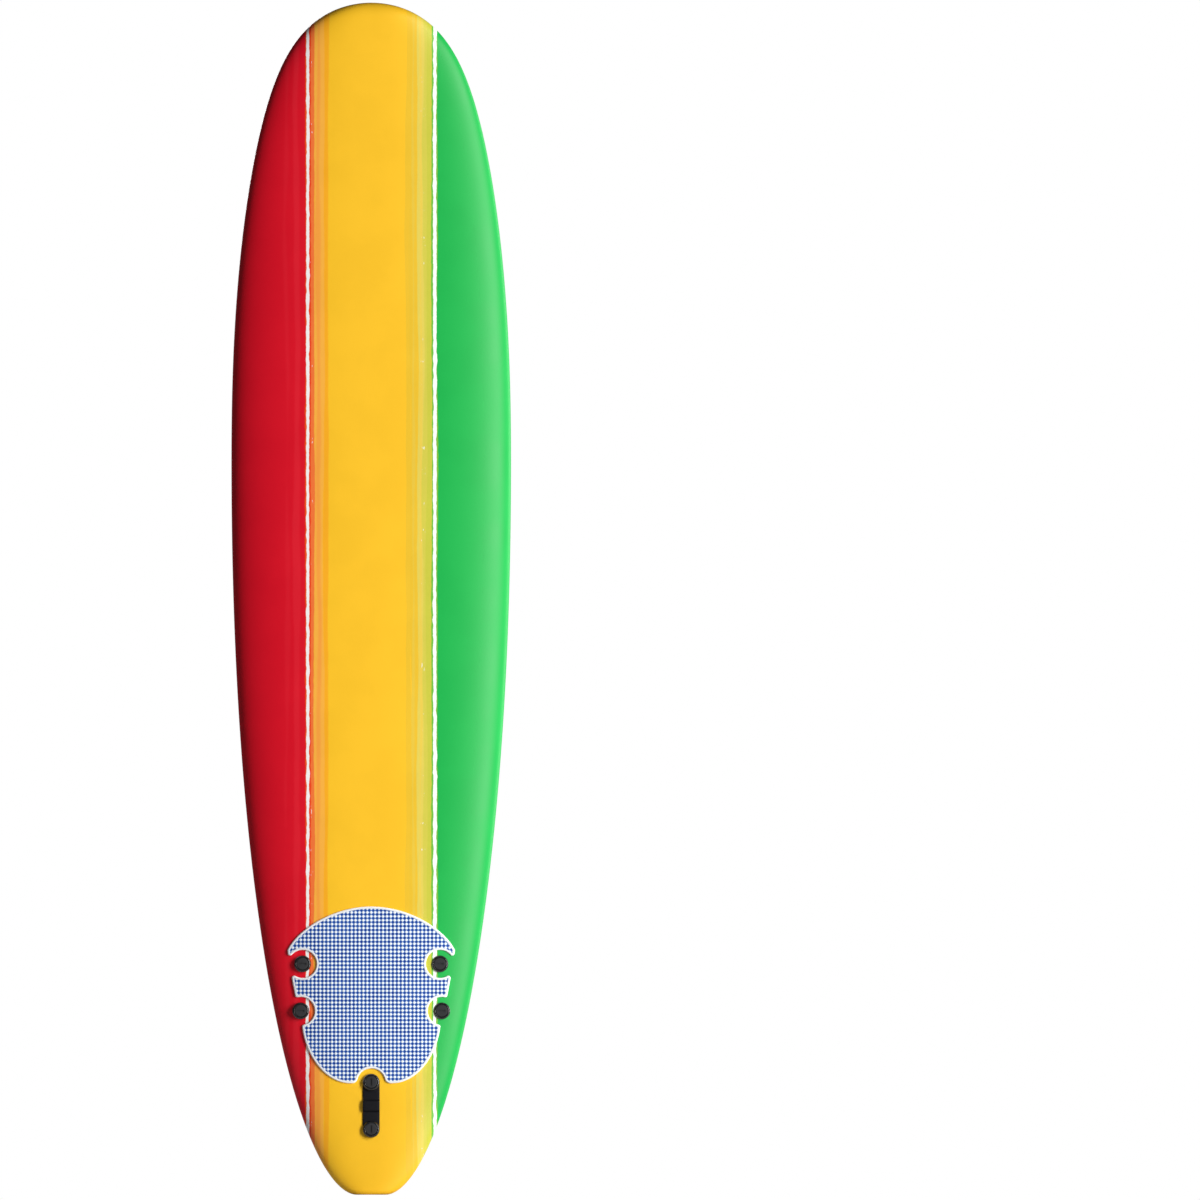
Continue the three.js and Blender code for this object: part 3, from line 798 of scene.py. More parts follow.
def grown(outline, by):
    """A closed outline moved out along its normals, in if by is negative."""
    ahead = np.roll(outline, -1, axis=0) - outline
    behind = outline - np.roll(outline, 1, axis=0)
    ahead /= np.linalg.norm(ahead, axis=1, keepdims=True)
    behind /= np.linalg.norm(behind, axis=1, keepdims=True)
    tangent = ahead + behind
    tangent /= np.linalg.norm(tangent, axis=1, keepdims=True)
    x, z = outline.T
    area = np.sum(x * np.roll(z, -1) - z * np.roll(x, -1))
    normal = np.stack([tangent[:, 1], -tangent[:, 0]], axis=-1) * math.copysign(1.0, area)
    return outline + normal * by


def flared_prism(outline, flare):
    """Upright cutter through the pad, whose edge leans out by flare for the last of its height."""
    top = PAD_THICKNESS + GAP
    lean = math.copysign(PAD_BEVEL, flare)
    over = 0.1
    stages = [(0.0, -BURIED), (0.0, top - PAD_BEVEL), (2 * lean, top + PAD_BEVEL), (2 * lean, over)]
    rings = []
    for by, above in stages:
        ring = grown(outline, by)
        height = deck_height(ring[:, 0], ring[:, 1])
        if abs(above) > top + PAD_BEVEL:
            height = np.full(len(ring), float(height.mean()))
        rings.append(points_at(ring[:, 0], height + above, ring[:, 1]))
    rings = np.stack(rings)
    count, around = rings.shape[:2]
    return rings.reshape(-1, 3), [ring_faces(count, around), lid_faces(count, around)]


def cell_field(x, z):
    """From -1 between four cells to 1 in the middle of a cell: the mean of two cosines."""
    turn = 2 * math.pi / sizes_of().cell_pitch
    return (np.cos(turn * x) + np.cos(turn * z)) / 2


def smoothstep(low, high, value):
    """From 0 at low to 1 at high, level at both: three squares less two cubes of the way."""
    t = np.clip((value - low) / (high - low), 0, 1)
    return t * t * (3 - 2 * t)


def edge_distance(x, z):
    """Distance from each point to the pad's edge, its notches included.

    Each side of the outlines is taken in turn, for all points at once."""
    place = np.stack([x, z], axis=-1)
    best = np.full(len(place), 1.0)
    for outline in (pad_outline(), *notches()):
        for a, b in zip(outline, np.roll(outline, -1, axis=0)):
            along = b - a
            t = np.clip((place - a) @ along / (along @ along), 0, 1)
            best = np.minimum(best, np.linalg.norm(place - a - t[:, None] * along, axis=1))
    return best


def pad_slab():
    """Block of pad foam whose top carries the cells and whose bottom is hidden in the board.

    The top is the deck's height plus the thickness, less the groove depth where the cell field
    is low; the cells stop short of the border."""
    step = sizes_of().cell_pitch / ROWS_PER_CELL
    columns = math.ceil(PAD_ROOM_HALF / step)
    x = np.arange(-columns, columns + 1) * step
    z = np.arange(math.floor(PAD_ROOM_LOW / step), math.ceil(PAD_ROOM_HIGH / step) + 1) * step
    wide, tall = np.meshgrid(x, z)
    raised = smoothstep(-0.3, 0.55, cell_field(wide, tall))
    away = edge_distance(wide.ravel(), tall.ravel())
    border = smoothstep(PAD_BORDER_OUTER, PAD_BORDER_INNER, away)
    groove = (1 - np.maximum(raised, border.reshape(wide.shape))) * sizes_of().cell_depth
    height = deck_height(wide, tall) + GAP + PAD_THICKNESS - groove
    top = points_at(wide, height, tall)
    rows, across = wide.shape
    floor = np.array(points_at(wide, deck_height(0.0, PAD_CENTRE) - BURIED, tall))
    index = np.arange(rows * across).reshape(rows, across)
    quads = np.stack([index[:-1, :-1], index[:-1, 1:], index[1:, 1:], index[1:, :-1]], axis=-1)
    edge = np.concatenate([index[0, :-1], index[:-1, -1], index[-1, :0:-1], index[:0:-1, 0]])
    below = rows * across + np.arange(len(edge))
    walls = np.stack([edge, below, np.roll(below, -1), np.roll(edge, -1)], axis=-1)
    points = np.vstack([top.reshape(-1, 3), floor.reshape(-1, 3)[edge]])
    return points, [quads.reshape(-1, 4), walls, below[None, ::-1]]


def deck_block():
    """Block whose top is the clearance above the deck and whose bottom is deep in the board."""
    x = np.linspace(-BLOCK_HALF, BLOCK_HALF, 61)
    z = np.linspace(BLOCK_LOW, BLOCK_HIGH, 61)[:, None]
    top = points_at(x, deck_height(x, z) + GAP, z)
    low = points_at(x, deck_height(0.0, PAD_CENTRE) - 90 * MM + 0 * x, z)
    return lofted(np.concatenate([top, low[:, ::-1]], axis=1))


def make_grip_pad():
    """Slab of cells, cut to the outline and round the bolts, and lying on the deck."""
    piece = new_piece("grip_pad", new_mesh("grip_pad", *pad_slab()))
    outer = flared_prism(pad_outline(), -1)
    cut(piece, joined("outline", [outer]), "INTERSECT")
    for outline in notches():
        cut(piece, joined("notch", [flared_prism(outline, 1)]))
    cut(piece, joined("deck", [deck_block()]))
    place = vertex_places(piece.data)
    edge = piece.data.attributes.new("edge", "FLOAT", "POINT")
    edge.data.foreach_set("value", edge_distance(place[:, 0], place[:, 2]).astype(np.float32))
    return piece


# ---- the leash strap ----


def make_leash_strap():
    """A flat section with bevelled edges, carried up the deck between two half-round ends.

    It rises in a smooth ramp to a loop in the middle and is pinched thin at each end of it."""
    sizes = sizes_of()
    ends = [on_deck(bolt_matrices()[name])[2] for name in STRAPPED]
    low, high = min(ends), max(ends)
    middle = (low + high) / 2
    half = sizes.strap_half
    round_end = half * np.cos(np.linspace(0.04, math.pi / 2, 14))
    z = np.concatenate(
        [low - round_end, np.linspace(low, high, 71)[1:-1], (high + round_end)[::-1]]
    )[:, None]
    past = np.maximum(np.maximum(low - z, z - high), 0)
    wide = np.sqrt(np.maximum(half**2 - past**2, STRAP_TIP_HALF**2))
    off = np.abs(z - middle)
    rise = smoothstep(STRAP_LOOP + STRAP_RAMP, STRAP_LOOP - MM, off)
    crease = np.exp(-(((off - STRAP_LOOP - STRAP_RAMP / 2) / CREASE_WIDTH) ** 2))
    under = GAP + STRAP_LIFT * rise
    over = under + STRAP_THICKNESS - CREASE_DEPTH * crease
    bevel = np.minimum(STRAP_BEVEL, wide / 2)
    across = np.concatenate([wide - bevel * s for s in STRAP_BEVEL_SHARES], axis=1)
    drop = np.array(STRAP_BEVEL_DROPS) * MM
    top_x = np.hstack([0.5 * across[:, :1], across])
    top_h = np.hstack([over, over - drop])
    foot_x = np.hstack([across[:, -1:], 0.5 * across[:, :1]])
    foot_h = np.hstack([under, under])
    x = np.hstack([top_x, foot_x])
    h = np.hstack([top_h, foot_h])
    x = np.hstack([x, -x[:, ::-1]])
    h = np.hstack([h, h[:, ::-1]])
    rings = points_at(x, deck_height(x, z) + h, z)
    piece = new_piece("rubber_strap", new_mesh("rubber_strap", *lofted(rings), SHARP_TURNED))
    holes = [
        rod(matrix, SHANK_RADIUS + GAP, 0.0, 2 * shape_of().thickness)
        for name, matrix in bolt_matrices().items()
        if name in STRAPPED
    ]
    return cut(piece, joined("strap_holes", holes), smooth_angle=SHARP_TURNED)


# ---- washers and bolts ----


def lift_of(name):
    """How far a washer sits above the deck: the strap's thickness where there is one."""
    return STRAP_THICKNESS + GAP if name in STRAPPED else 0.0


def washer_top(name, matrix):
    """Distance along a bolt from the bottom to the top of its washer."""
    return float(deck_along(matrix)) + lift_of(name) + sizes_of().washer_rise


def make_washer(name, matrix):
    """A turned cup with a rounded rim, whose underside takes the deck's own slope."""
    sizes = sizes_of()
    top = washer_top(name, matrix)
    well = sizes.head_radius + GAP
    bore = SHANK_RADIUS + GAP
    radius = sizes.washer_radius
    floor = top - WASHER_FLOOR
    outline = softened(
        [
            (bore, floor - WASHER_LINING),
            (bore, floor),
            (well, floor),
            (well, top),
            (well + WASHER_BEVEL, top),
            (radius, top - WASHER_BEVEL),
            (radius, top - WASHER_WALL_FOOT),
        ],
        WASHER_ROUNDING,
    )
    rings = turned_rings(outline, 72)
    under = turned_rings(np.array([[radius, 0.0], [(radius + bore) / 2, 0.0], [bore, 0.0]]), 72)
    reach = deck_along(matrix, under[..., 0], under[..., 2]) + lift_of(name) + GAP
    under[..., 1] = -reach
    rings[-1, :, 1] = np.minimum(rings[-1, :, 1], under[0, :, 1] - WASHER_LIP)
    rings = np.concatenate([rings, under])
    count, around = rings.shape[:2]
    faces = [ring_faces(count, around)]
    seam = (count - 1) * around
    here = np.arange(around)
    after = (here + 1) % around
    faces.append(np.stack([seam + here, seam + after, after, here], axis=-1))
    return new_mesh(f"cup_washer_{name}", placed(rings.reshape(-1, 3), matrix), faces, SHARP_TURNED)


def make_bolt(name, matrix):
    """A turned shank with a thread and a flat slotted head.

    Along the thread the radius is less by a cosine of height less turn, cut off below the head."""
    sizes = sizes_of()
    seat = washer_top(name, matrix) - HEAD_DROP
    head = sizes.head_radius
    first = BOLT_FOOT + 0.6 * MM
    shank = np.arange(first, seat - THREAD_TOP, THREAD_PITCH / THREAD_RINGS)
    foot = [(SHANK_RADIUS - BOLT_POINT, BOLT_FOOT)]
    top = softened(
        [
            (SHANK_RADIUS, seat - HEAD_HEIGHT),
            (SHANK_RADIUS, seat),
            (head, seat),
            (head, seat + HEAD_HEIGHT),
            (head - HEAD_HEIGHT, seat + HEAD_HEIGHT),
        ],
        HEAD_ROUNDING,
    )
    crown = [(head * share, seat + HEAD_HEIGHT) for share in (0.6, 0.25)]
    middle = np.stack([np.full(len(shank), SHANK_RADIUS), shank], axis=-1)
    profile = np.vstack([foot, middle, top, crown])
    rings = turned_rings(profile, 48)
    turn = np.arctan2(rings[..., 2], rings[..., 0])
    height = profile[:, 1:2]
    threaded = smoothstep(BOLT_FOOT, BOLT_FOOT + THREAD_FADE, height)
    last = seat - THREAD_TOP
    threaded = threaded * smoothstep(last, last - THREAD_FADE, height)
    wave = (1 - np.cos(2 * math.pi * height / THREAD_PITCH - turn)) / 2
    shrink = 1 - THREAD_DEPTH * wave * threaded / np.maximum(profile[:, :1], TINY)
    rings[..., 0] *= shrink
    rings[..., 2] *= shrink
    points, faces = lofted(rings)
    mesh = new_mesh(f"slotted_bolt_{name}", placed(points, matrix), faces, SHARP_TURNED)
    piece = new_piece(f"slotted_bolt_{name}", mesh)
    u, w = SLOT_HALF_WIDTH, SLOT_HALF_LENGTH
    if name in STRAPPED:
        u, w = w, u
    corner = np.array([[-u, -w], [u, -w], [u, w], [-u, w]])
    slot = [
        np.column_stack([corner[:, 0], np.full(4, -height), corner[:, 1]])
        for height in (seat + SLOT_FLOOR, seat + SLOT_TOP)
    ]
    points, faces = lofted(np.stack(slot))
    return cut(piece, joined("slot", [(placed(points, matrix), faces)]), smooth_angle=SHARP_TURNED)


# ---- fins ----


def blade_edges(height):
    """Leading and trailing edge of the blade at each height, from the two edges' curves."""
    lead = cubic((-50, 2.3), (-20, 52), (10, 97), (70, 101), 400)
    aft = np.vstack(
        [
            cubic((51, 2.3), (42, 34), (62, 66), (90, 79.5), 400),
            cubic((90, 79.5), (102, 86), (84, 101.5), (70, 101), 400),
        ]
    )
    lead = np.vstack([lead, [(70, 101)]]) * MM
    aft = aft * MM
    rising = np.maximum.accumulate(aft[:, 1])
    keep = np.concatenate([[True], np.diff(rising) > 0])
    front = np.interp(height, lead[:, 1], lead[:, 0])
    rear = np.interp(height, rising[keep], aft[keep, 0])
    return front, rear


def make_blade():
    """Foil sections carried up the fin: each is a chord between the two edges.

    Its half thickness is the tapering width times a quarter circle near the leading edge and a
    longer one near the trailing edge, with a small flare where it meets the base."""
    root, top = BLADE_FOOT, BLADE_HEIGHT - BLADE_CROWN
    rise = np.sin(np.linspace(0, math.pi / 2, 64))[:, None]
    height = root + (top - root) * rise
    front, rear = blade_edges(height)
    turn = np.linspace(0, 2 * math.pi, 72, endpoint=False)
    share = (1 - np.cos(turn)) / 2
    chord = rear - front
    width = BLADE_ROOT + (BLADE_TIP - BLADE_ROOT) * height / BLADE_HEIGHT

    def quarter(distance, radius):
        return np.sqrt(1 - (1 - np.clip(distance / radius, 0, 1)) ** 2)

    foil = quarter(share * chord, NOSE_ROUNDING) * quarter((1 - share) * chord, REAR_ROUNDING)
    crown = quarter(top - height + BLADE_CROWN, CROWN_ROUNDING)
    flare = FILLET * np.clip(1 - (height - BASE_THICKNESS) / FILLET_HEIGHT, 0, 1) ** 2
    side = np.sign(np.sin(turn)) * foil * (width / 2 * crown + flare)
    side = np.where(np.abs(np.sin(turn)) < 1e-9, 0.0, side)
    x = front + share * chord
    rings = np.stack(np.broadcast_arrays(x, height, side), axis=-1)
    return lofted(lidded(rings))


def blade_slot():
    """Prism of the curved slot through the blade."""
    turn = np.linspace(0, -math.pi, 24, endpoint=False)[:, None]
    arc = np.hstack([21.5 + 6 * np.cos(turn), 13 + 6 * np.sin(turn)])
    outline = np.vstack(
        [
            arc,
            cubic((15.5, 13), (17, 42), (40, 68), (62, 80.5), 40),
            quadratic((62, 80.5), (67, 81), (62.4, 75.5), 12),
            cubic((62.4, 75.5), (42, 64), (28, 42), (27.5, 13), 40),
        ]
    )
    around = len(outline)
    sides = [np.column_stack([outline * MM, np.full(around, w)]) for w in (-0.02, 0.02)]
    return np.vstack(sides), [ring_faces(2, around), lid_faces(2, around)]


def make_base():
    """Long round-ended plate with a rounded top edge."""
    turn = np.linspace(-math.pi / 2, math.pi / 2, 28)
    steps = len(turn)
    straight = BASE_LENGTH / 2 - BASE_HALF
    x = np.concatenate([np.cos(turn), -np.cos(turn)])
    z = np.concatenate([np.sin(turn), -np.sin(turn)])
    shift = np.concatenate([np.full(steps, straight), np.full(steps, -straight)])
    top = GAP + BASE_THICKNESS
    profile = softened(
        [
            (BASE_HALF - BASE_CHAMFER, GAP),
            (BASE_HALF, GAP + BASE_CHAMFER),
            (BASE_HALF, top),
            (BASE_HALF - BASE_LID, top),
        ],
        BASE_ROUNDING,
        steps=6,
    )
    rings = np.stack(
        [np.column_stack([shift + r * x, np.full(len(x), h), r * z]) for r, h in profile]
    )
    return lofted(rings)


def make_fin(name, matrix):
    """Base and blade joined, slotted, and hollowed under for the heads of the posts."""
    piece = joined(f"fin_blade_{name}", [make_base()])
    cut(piece, joined("blade", [make_blade()]), "UNION", SHARP_FIN)
    cut(piece, joined("slot", [blade_slot()]), smooth_angle=SHARP_FIN)
    half = sizes_of().bolt_spacing / 2
    pockets = []
    for shift in (-half, half):
        at = np.eye(4)
        at[0, 3] = shift
        pockets.append(rod(at, POST_RADIUS + GAP, -POST_HEAD - GAP, POST_HEAD))
    cut(piece, joined("pockets", pockets), smooth_angle=SHARP_FIN)
    moved = placed(vertex_places(piece.data), matrix)
    piece.data.vertices.foreach_set("co", moved.astype(np.float32).ravel())
    piece.data.update()
    return piece


# ---- node groups and materials ----


class Wiring:
    """Adds nodes to a tree and joins them."""

    def __init__(self, tree):
        self.tree = tree

    def add(self, kind, inputs=(), **settings):
        """New node of a kind, with its settings and inputs."""
        made = self.tree.nodes.new(kind)
        for key, value in settings.items():
            setattr(made, key, value)
        for key, value in dict(inputs).items():
            self.feed(made.inputs[key], value)
        return made

    def feed(self, socket, value):
        """Links a node's output to a socket, or sets the socket to a constant."""
        if isinstance(value, bpy.types.NodeSocket):
            self.tree.links.new(value, socket)
        else:
            socket.default_value = value

    def maths(self, operation, a, b=0.0):
        """Result of one operation on two numbers."""
        return self.add("ShaderNodeMath", {0: a, 1: b}, operation=operation).outputs[0]

    def texture(self, kind, inputs, output="Fac", **settings):
        """One output of a texture node."""
        return self.add(f"ShaderNodeTex{kind}", inputs, **settings).outputs[output]

    def scaled(self, place, scale):
        """A place with each of its coordinates multiplied."""
        return self.add("ShaderNodeMapping", {"Vector": place, "Scale": scale}).outputs[0]

    def step(self, value, low, high, to_low=0.0, to_high=1.0):
        """A smooth step from one value to another as the input goes from low to high."""
        inputs = {"Value": value, 1: low, 2: high, 3: to_low, 4: to_high}
        return self.add("ShaderNodeMapRange", inputs, interpolation_type="SMOOTHSTEP").outputs[0]

    def mix(self, share, a, b, blend="MIX"):
        """Colour a with a share of colour b laid over it."""
        made = self.add("ShaderNodeMix", data_type="RGBA", blend_type=blend)
        self.feed(made.inputs[0], share)
        self.feed(made.inputs[6], a)
        self.feed(made.inputs[7], b)
        return made.outputs[2]

    def group(self, tree, inputs):
        """Outputs of a node group placed with its own values."""
        made = self.add("ShaderNodeGroup", node_tree=tree)
        for key, value in inputs.items():
            self.feed(made.inputs[key], value)
        return made.outputs


def new_group(name, inputs, outputs):
    """Empty node group with named inputs (name, kind, default) and outputs (name, kind)."""
    tree = bpy.data.node_groups.new(name, "ShaderNodeTree")
    for label, kind, default in inputs:
        socket = tree.interface.new_socket(label, in_out="INPUT", socket_type=kind)
        if default is not None:
            socket.default_value = default
    for label, kind in outputs:
        tree.interface.new_socket(label, in_out="OUTPUT", socket_type=kind)
    wires = Wiring(tree)
    source = wires.add("NodeGroupInput").outputs
    target = wires.add("NodeGroupOutput").inputs
    return tree, wires, source, target


FLOAT = "NodeSocketFloat"
VECTOR = "NodeSocketVector"


def painted_band_group():
    """Mask of a painted band between two edges that wander slowly and fray finely."""
    name = "Painted Band"
    if name in bpy.data.node_groups:
        return bpy.data.node_groups[name]
    tree, wires, source, target = new_group(
        name,
        [
            ("Across", FLOAT, 0.0),
            ("Along", FLOAT, 0.0),
            ("From", FLOAT, 0.0),
            ("To", FLOAT, 0.1),
            ("Wander", FLOAT, 0.003),
            ("Fray", FLOAT, 0.0008),
            ("Softness", FLOAT, 0.0005),
            ("Seed", FLOAT, 0.0),
        ],
        [("Mask", FLOAT)],
    )
    edges = []
    for scale, strength, detail in ((2.3, "Wander", 2.0), (42.0, "Fray", 3.0)):
        along = wires.maths("MULTIPLY", source["Along"], scale)
        place = wires.maths("ADD", along, wires.maths("MULTIPLY", source["Seed"], 7.31))
        noise = wires.texture(
            "Noise",
            {"W": place, "Scale": 1.0, "Detail": detail, "Roughness": 0.55},
            "Color",
            noise_dimensions="1D",
        )
        parts = wires.add("ShaderNodeSeparateColor", {0: noise}).outputs
        size = wires.maths("MULTIPLY", source[strength], 4.0)
        edges.append(
            [
                wires.maths("MULTIPLY", wires.maths("SUBTRACT", part, 0.5), size)
                for part in (parts[0], parts[1])
            ]
        )
    soft = source["Softness"]
    left = wires.maths("ADD", source["From"], wires.maths("ADD", edges[0][0], edges[1][0]))
    right = wires.maths("ADD", source["To"], wires.maths("ADD", edges[0][1], edges[1][1]))
    inner = wires.step(
        source["Across"], wires.maths("SUBTRACT", left, soft), wires.maths("ADD", left, soft)
    )
    outer = wires.step(
        source["Across"], wires.maths("SUBTRACT", right, soft), wires.maths("ADD", right, soft)
    )
    mask = wires.maths("MULTIPLY", inner, wires.maths("SUBTRACT", 1.0, outer))
    wires.feed(target["Mask"], mask)
    return tree


def grain_group():
    """Fine pores with a slow mottle under them: a height for a bump and a mask for the tone."""
    name = "Surface Grain"
    if name in bpy.data.node_groups:
        return bpy.data.node_groups[name]
    tree, wires, source, target = new_group(
        name,
        [
            ("Position", VECTOR, None),
            ("Pore Scale", FLOAT, 900.0),
            ("Mottle Scale", FLOAT, 14.0),
        ],
        [("Height", FLOAT), ("Mottle", FLOAT)],
    )
    place = source["Position"]
    fine = {"Vector": place, "Scale": source["Pore Scale"], "Detail": 3.0, "Roughness": 0.6}
    pores = wires.texture("Noise", fine)
    slow = {"Vector": place, "Scale": source["Mottle Scale"], "Detail": 4.0, "Roughness": 0.5}
    mottle = wires.texture("Noise", slow)
    wires.feed(target["Height"], pores)
    wires.feed(target["Mottle"], wires.step(mottle, 0.3, 0.7))
    return tree


def scuff_group():
    """Mask of short fine scuffs that run along one direction, as handling leaves them."""
    name = "Handling Scuffs"
    if name in bpy.data.node_groups:
        return bpy.data.node_groups[name]
    tree, wires, source, target = new_group(
        name,
        [("Position", VECTOR, None), ("Scale", FLOAT, 60.0), ("Amount", FLOAT, 0.3)],
        [("Mask", FLOAT)],
    )
    place = source["Position"]
    stretched = wires.scaled(place, (1.0, 1.0, 0.08))
    lines = wires.texture(
        "Noise", {"Vector": stretched, "Scale": source["Scale"], "Detail": 5.0, "Roughness": 0.7}
    )
    patches = wires.texture("Noise", {"Vector": place, "Scale": 9.0, "Detail": 2.0})
    thin = wires.step(lines, 0.58, 0.72)
    where = wires.step(patches, 0.45, 0.65)
    mask = wires.maths("MULTIPLY", wires.maths("MULTIPLY", thin, where), source["Amount"])
    wires.feed(target["Mask"], mask)
    return tree


def new_material(name, roughness, **constants):
    """Material with a shader whose constant sockets are set, and its wiring."""
    material = bpy.data.materials.new(name)
    material.use_nodes = True
    tree = material.node_tree
    shader = tree.nodes["Principled BSDF"]
    shader.inputs["Roughness"].default_value = roughness
    for key, value in constants.items():
        shader.inputs[key.replace("_", " ")].default_value = value
    wires = Wiring(tree)
    place = wires.add("ShaderNodeTexCoord").outputs["Object"]
    return material, wires, shader.inputs, place


def bump(wires, shader, height, strength, distance):
    """Relief in the shading, from a height between 0 and 1 times a distance."""
    made = wires.add(
        "ShaderNodeBump", {"Height": height, "Strength": strength, "Distance": distance}
    )
    wires.feed(shader["Normal"], made.outputs[0])


def rough_range(wires, shader, mask, low, high):
    """Roughness from low to high as the mask goes from 0 to 1."""
    wires.feed(shader["Roughness"], wires.step(mask, 0.0, 1.0, low, high))


# Spatter beside the pinstripes: its middle across the board, its spread, and its seed
SPATTERS = ((-0.1215, 0.004, 3.0), (0.106, 0.007, 8.0))


def flecks(wires, across, along, centre, spread, seed):
    """Mask of short upright flecks scattered near one line."""
    place = wires.add("ShaderNodeCombineXYZ", {0: across, 1: seed, 2: along}).outputs[0]
    stretched = wires.scaled(place, (420, 1, 90))
    dots = wires.texture("Noise", {"Vector": stretched, "Scale": 1.0, "Detail": 1.0})
    where = wires.maths("ADD", wires.maths("MULTIPLY", along, 6.0), seed)
    clusters = wires.texture("Noise", {"W": where, "Detail": 1.0}, noise_dimensions="1D")
    off = wires.maths("ABSOLUTE", wires.maths("SUBTRACT", across, centre))
    near = wires.step(off, spread, 0.0)
    few = wires.step(clusters, 0.56, 0.62)
    shown = wires.step(dots, 0.66, 0.7)
    return wires.maths("MULTIPLY", wires.maths("MULTIPLY", near, few), shown)


def deck_bands(paint):
    """Every band of the print, from first laid to last.

    A row holds its colour, how far it covers, its left and right edge across the board, how far
    the edges wander and fray, and how soft they are, in metres."""
    far = 1.0
    return [
        (paint.amber, 0.9, -0.0985, -0.088, 0.0022, 0.0004, 0.0016),
        (paint.peach, 0.95, -0.118, -0.0965, 0.0026, 0.0005, 0.0012),
        (paint.salmon, 0.35, -0.112, -0.104, 0.0035, 0.0003, 0.0030),
        (paint.salmon, 1.0, -0.131, -0.1165, 0.0018, 0.0005, 0.0010),
        (paint.flame, 0.9, -0.137, -0.1235, 0.0008, 0.0009, 0.0007),
        (paint.mustard, 0.8, 0.071, 0.083, 0.0035, 0.0003, 0.0012),
        (paint.mustard, 0.9, 0.080, 0.100, 0.0040, 0.0004, 0.0012),
        (paint.straw, 0.35, 0.084, 0.0885, 0.0030, 0.0005, 0.0008),
        (paint.straw, 1.0, 0.0945, 0.118, 0.0028, 0.0004, 0.0010),
        (paint.yellow, 0.25, 0.099, 0.1035, 0.0030, 0.0004, 0.0014),
        (paint.lime, 0.6, 0.106, 0.124, 0.0045, 0.0004, 0.0020),
        (paint.lime, 0.95, 0.1135, 0.128, 0.0022, 0.0005, 0.0012),
        (paint.leaf, 0.9, 0.1235, 0.1385, 0.0013, 0.0007, 0.0007),
        (paint.red, 1.0, -far, -0.1345, 0.0012, 0.0008, 0.0008),
        (paint.light_red, 0.35, -0.158, -0.147, 0.0040, 0.0004, 0.0024),
        (paint.light_red, 0.2, -0.176, -0.170, 0.0050, 0.0003, 0.0030),
        (paint.green, 1.0, 0.1355, far, 0.0016, 0.0006, 0.0008),
        (paint.white, 1.0, -0.1327, -0.1268, 0.0007, 0.0012, 0.0005),
        (paint.white, 1.0, 0.1268, 0.1335, 0.0007, 0.0012, 0.0005),
    ]


def printed_foam():
    """Soft deck skin with the painted bands: every mask is a band across x that frays along z."""
    paint = colours_of()
    material, wires, shader, place = new_material(
        "Printed Deck Foam", 0.46, Specular_IOR_Level=0.3
    )
    parts = wires.add("ShaderNodeSeparateXYZ", {0: place}).outputs
    colour = tuple(paint.yellow)
    band = painted_band_group()
    for seed, row in enumerate(deck_bands(paint)):
        shade, share, low, high, wander, fray, soft = row
        mask = wires.group(
            band,
            {
                "Across": parts[0],
                "Along": parts[2],
                "From": low,
                "To": high,
                "Wander": wander,
                "Fray": fray,
                "Softness": soft,
                "Seed": float(seed + 1),
            },
        )["Mask"]
        colour = wires.mix(wires.maths("MULTIPLY", mask, share), colour, tuple(shade))
    for centre, spread, seed in SPATTERS:
        mask = flecks(wires, parts[0], parts[2], centre, spread, seed)
        colour = wires.mix(mask, colour, tuple(paint.white))
    grain = wires.group(
        grain_group(), {"Position": place, "Pore Scale": 1100.0, "Mottle Scale": 9.0}
    )
    tone = wires.step(grain["Mottle"], 0.0, 1.0, 0.965, 1.0)
    colour = wires.mix(1.0, colour, tone, "MULTIPLY")
    wires.feed(shader["Base Color"], colour)
    rough_range(wires, shader, grain["Mottle"], 0.45, 0.48)
    bump(wires, shader, grain["Height"], 0.12, 0.3 * MM)
    return material


def slick_sheet():
    """Smooth white plastic sheet with a faint orange-peel and a few scuffs."""
    paint = colours_of()
    material, wires, shader, place = new_material("Slick Bottom", 0.28, Specular_IOR_Level=0.5)
    grain = wires.group(grain_group(), {"Position": place, "Pore Scale": 140.0, "Mottle Scale": 5.0})
    scuff = wires.group(scuff_group(), {"Position": place, "Scale": 90.0, "Amount": 0.12})["Mask"]
    cloud = wires.step(grain["Mottle"], 0, 1, 0, 0.3)
    tint = wires.mix(cloud, tuple(paint.bottom), linear(236, 235, 241))
    wires.feed(shader["Base Color"], wires.mix(scuff, tint, linear(214, 213, 220)))
    rough_range(wires, shader, wires.maths("ADD", grain["Mottle"], scuff), 0.29, 0.32)
    bump(wires, shader, grain["Height"], 0.05, 0.5 * MM)
    return material


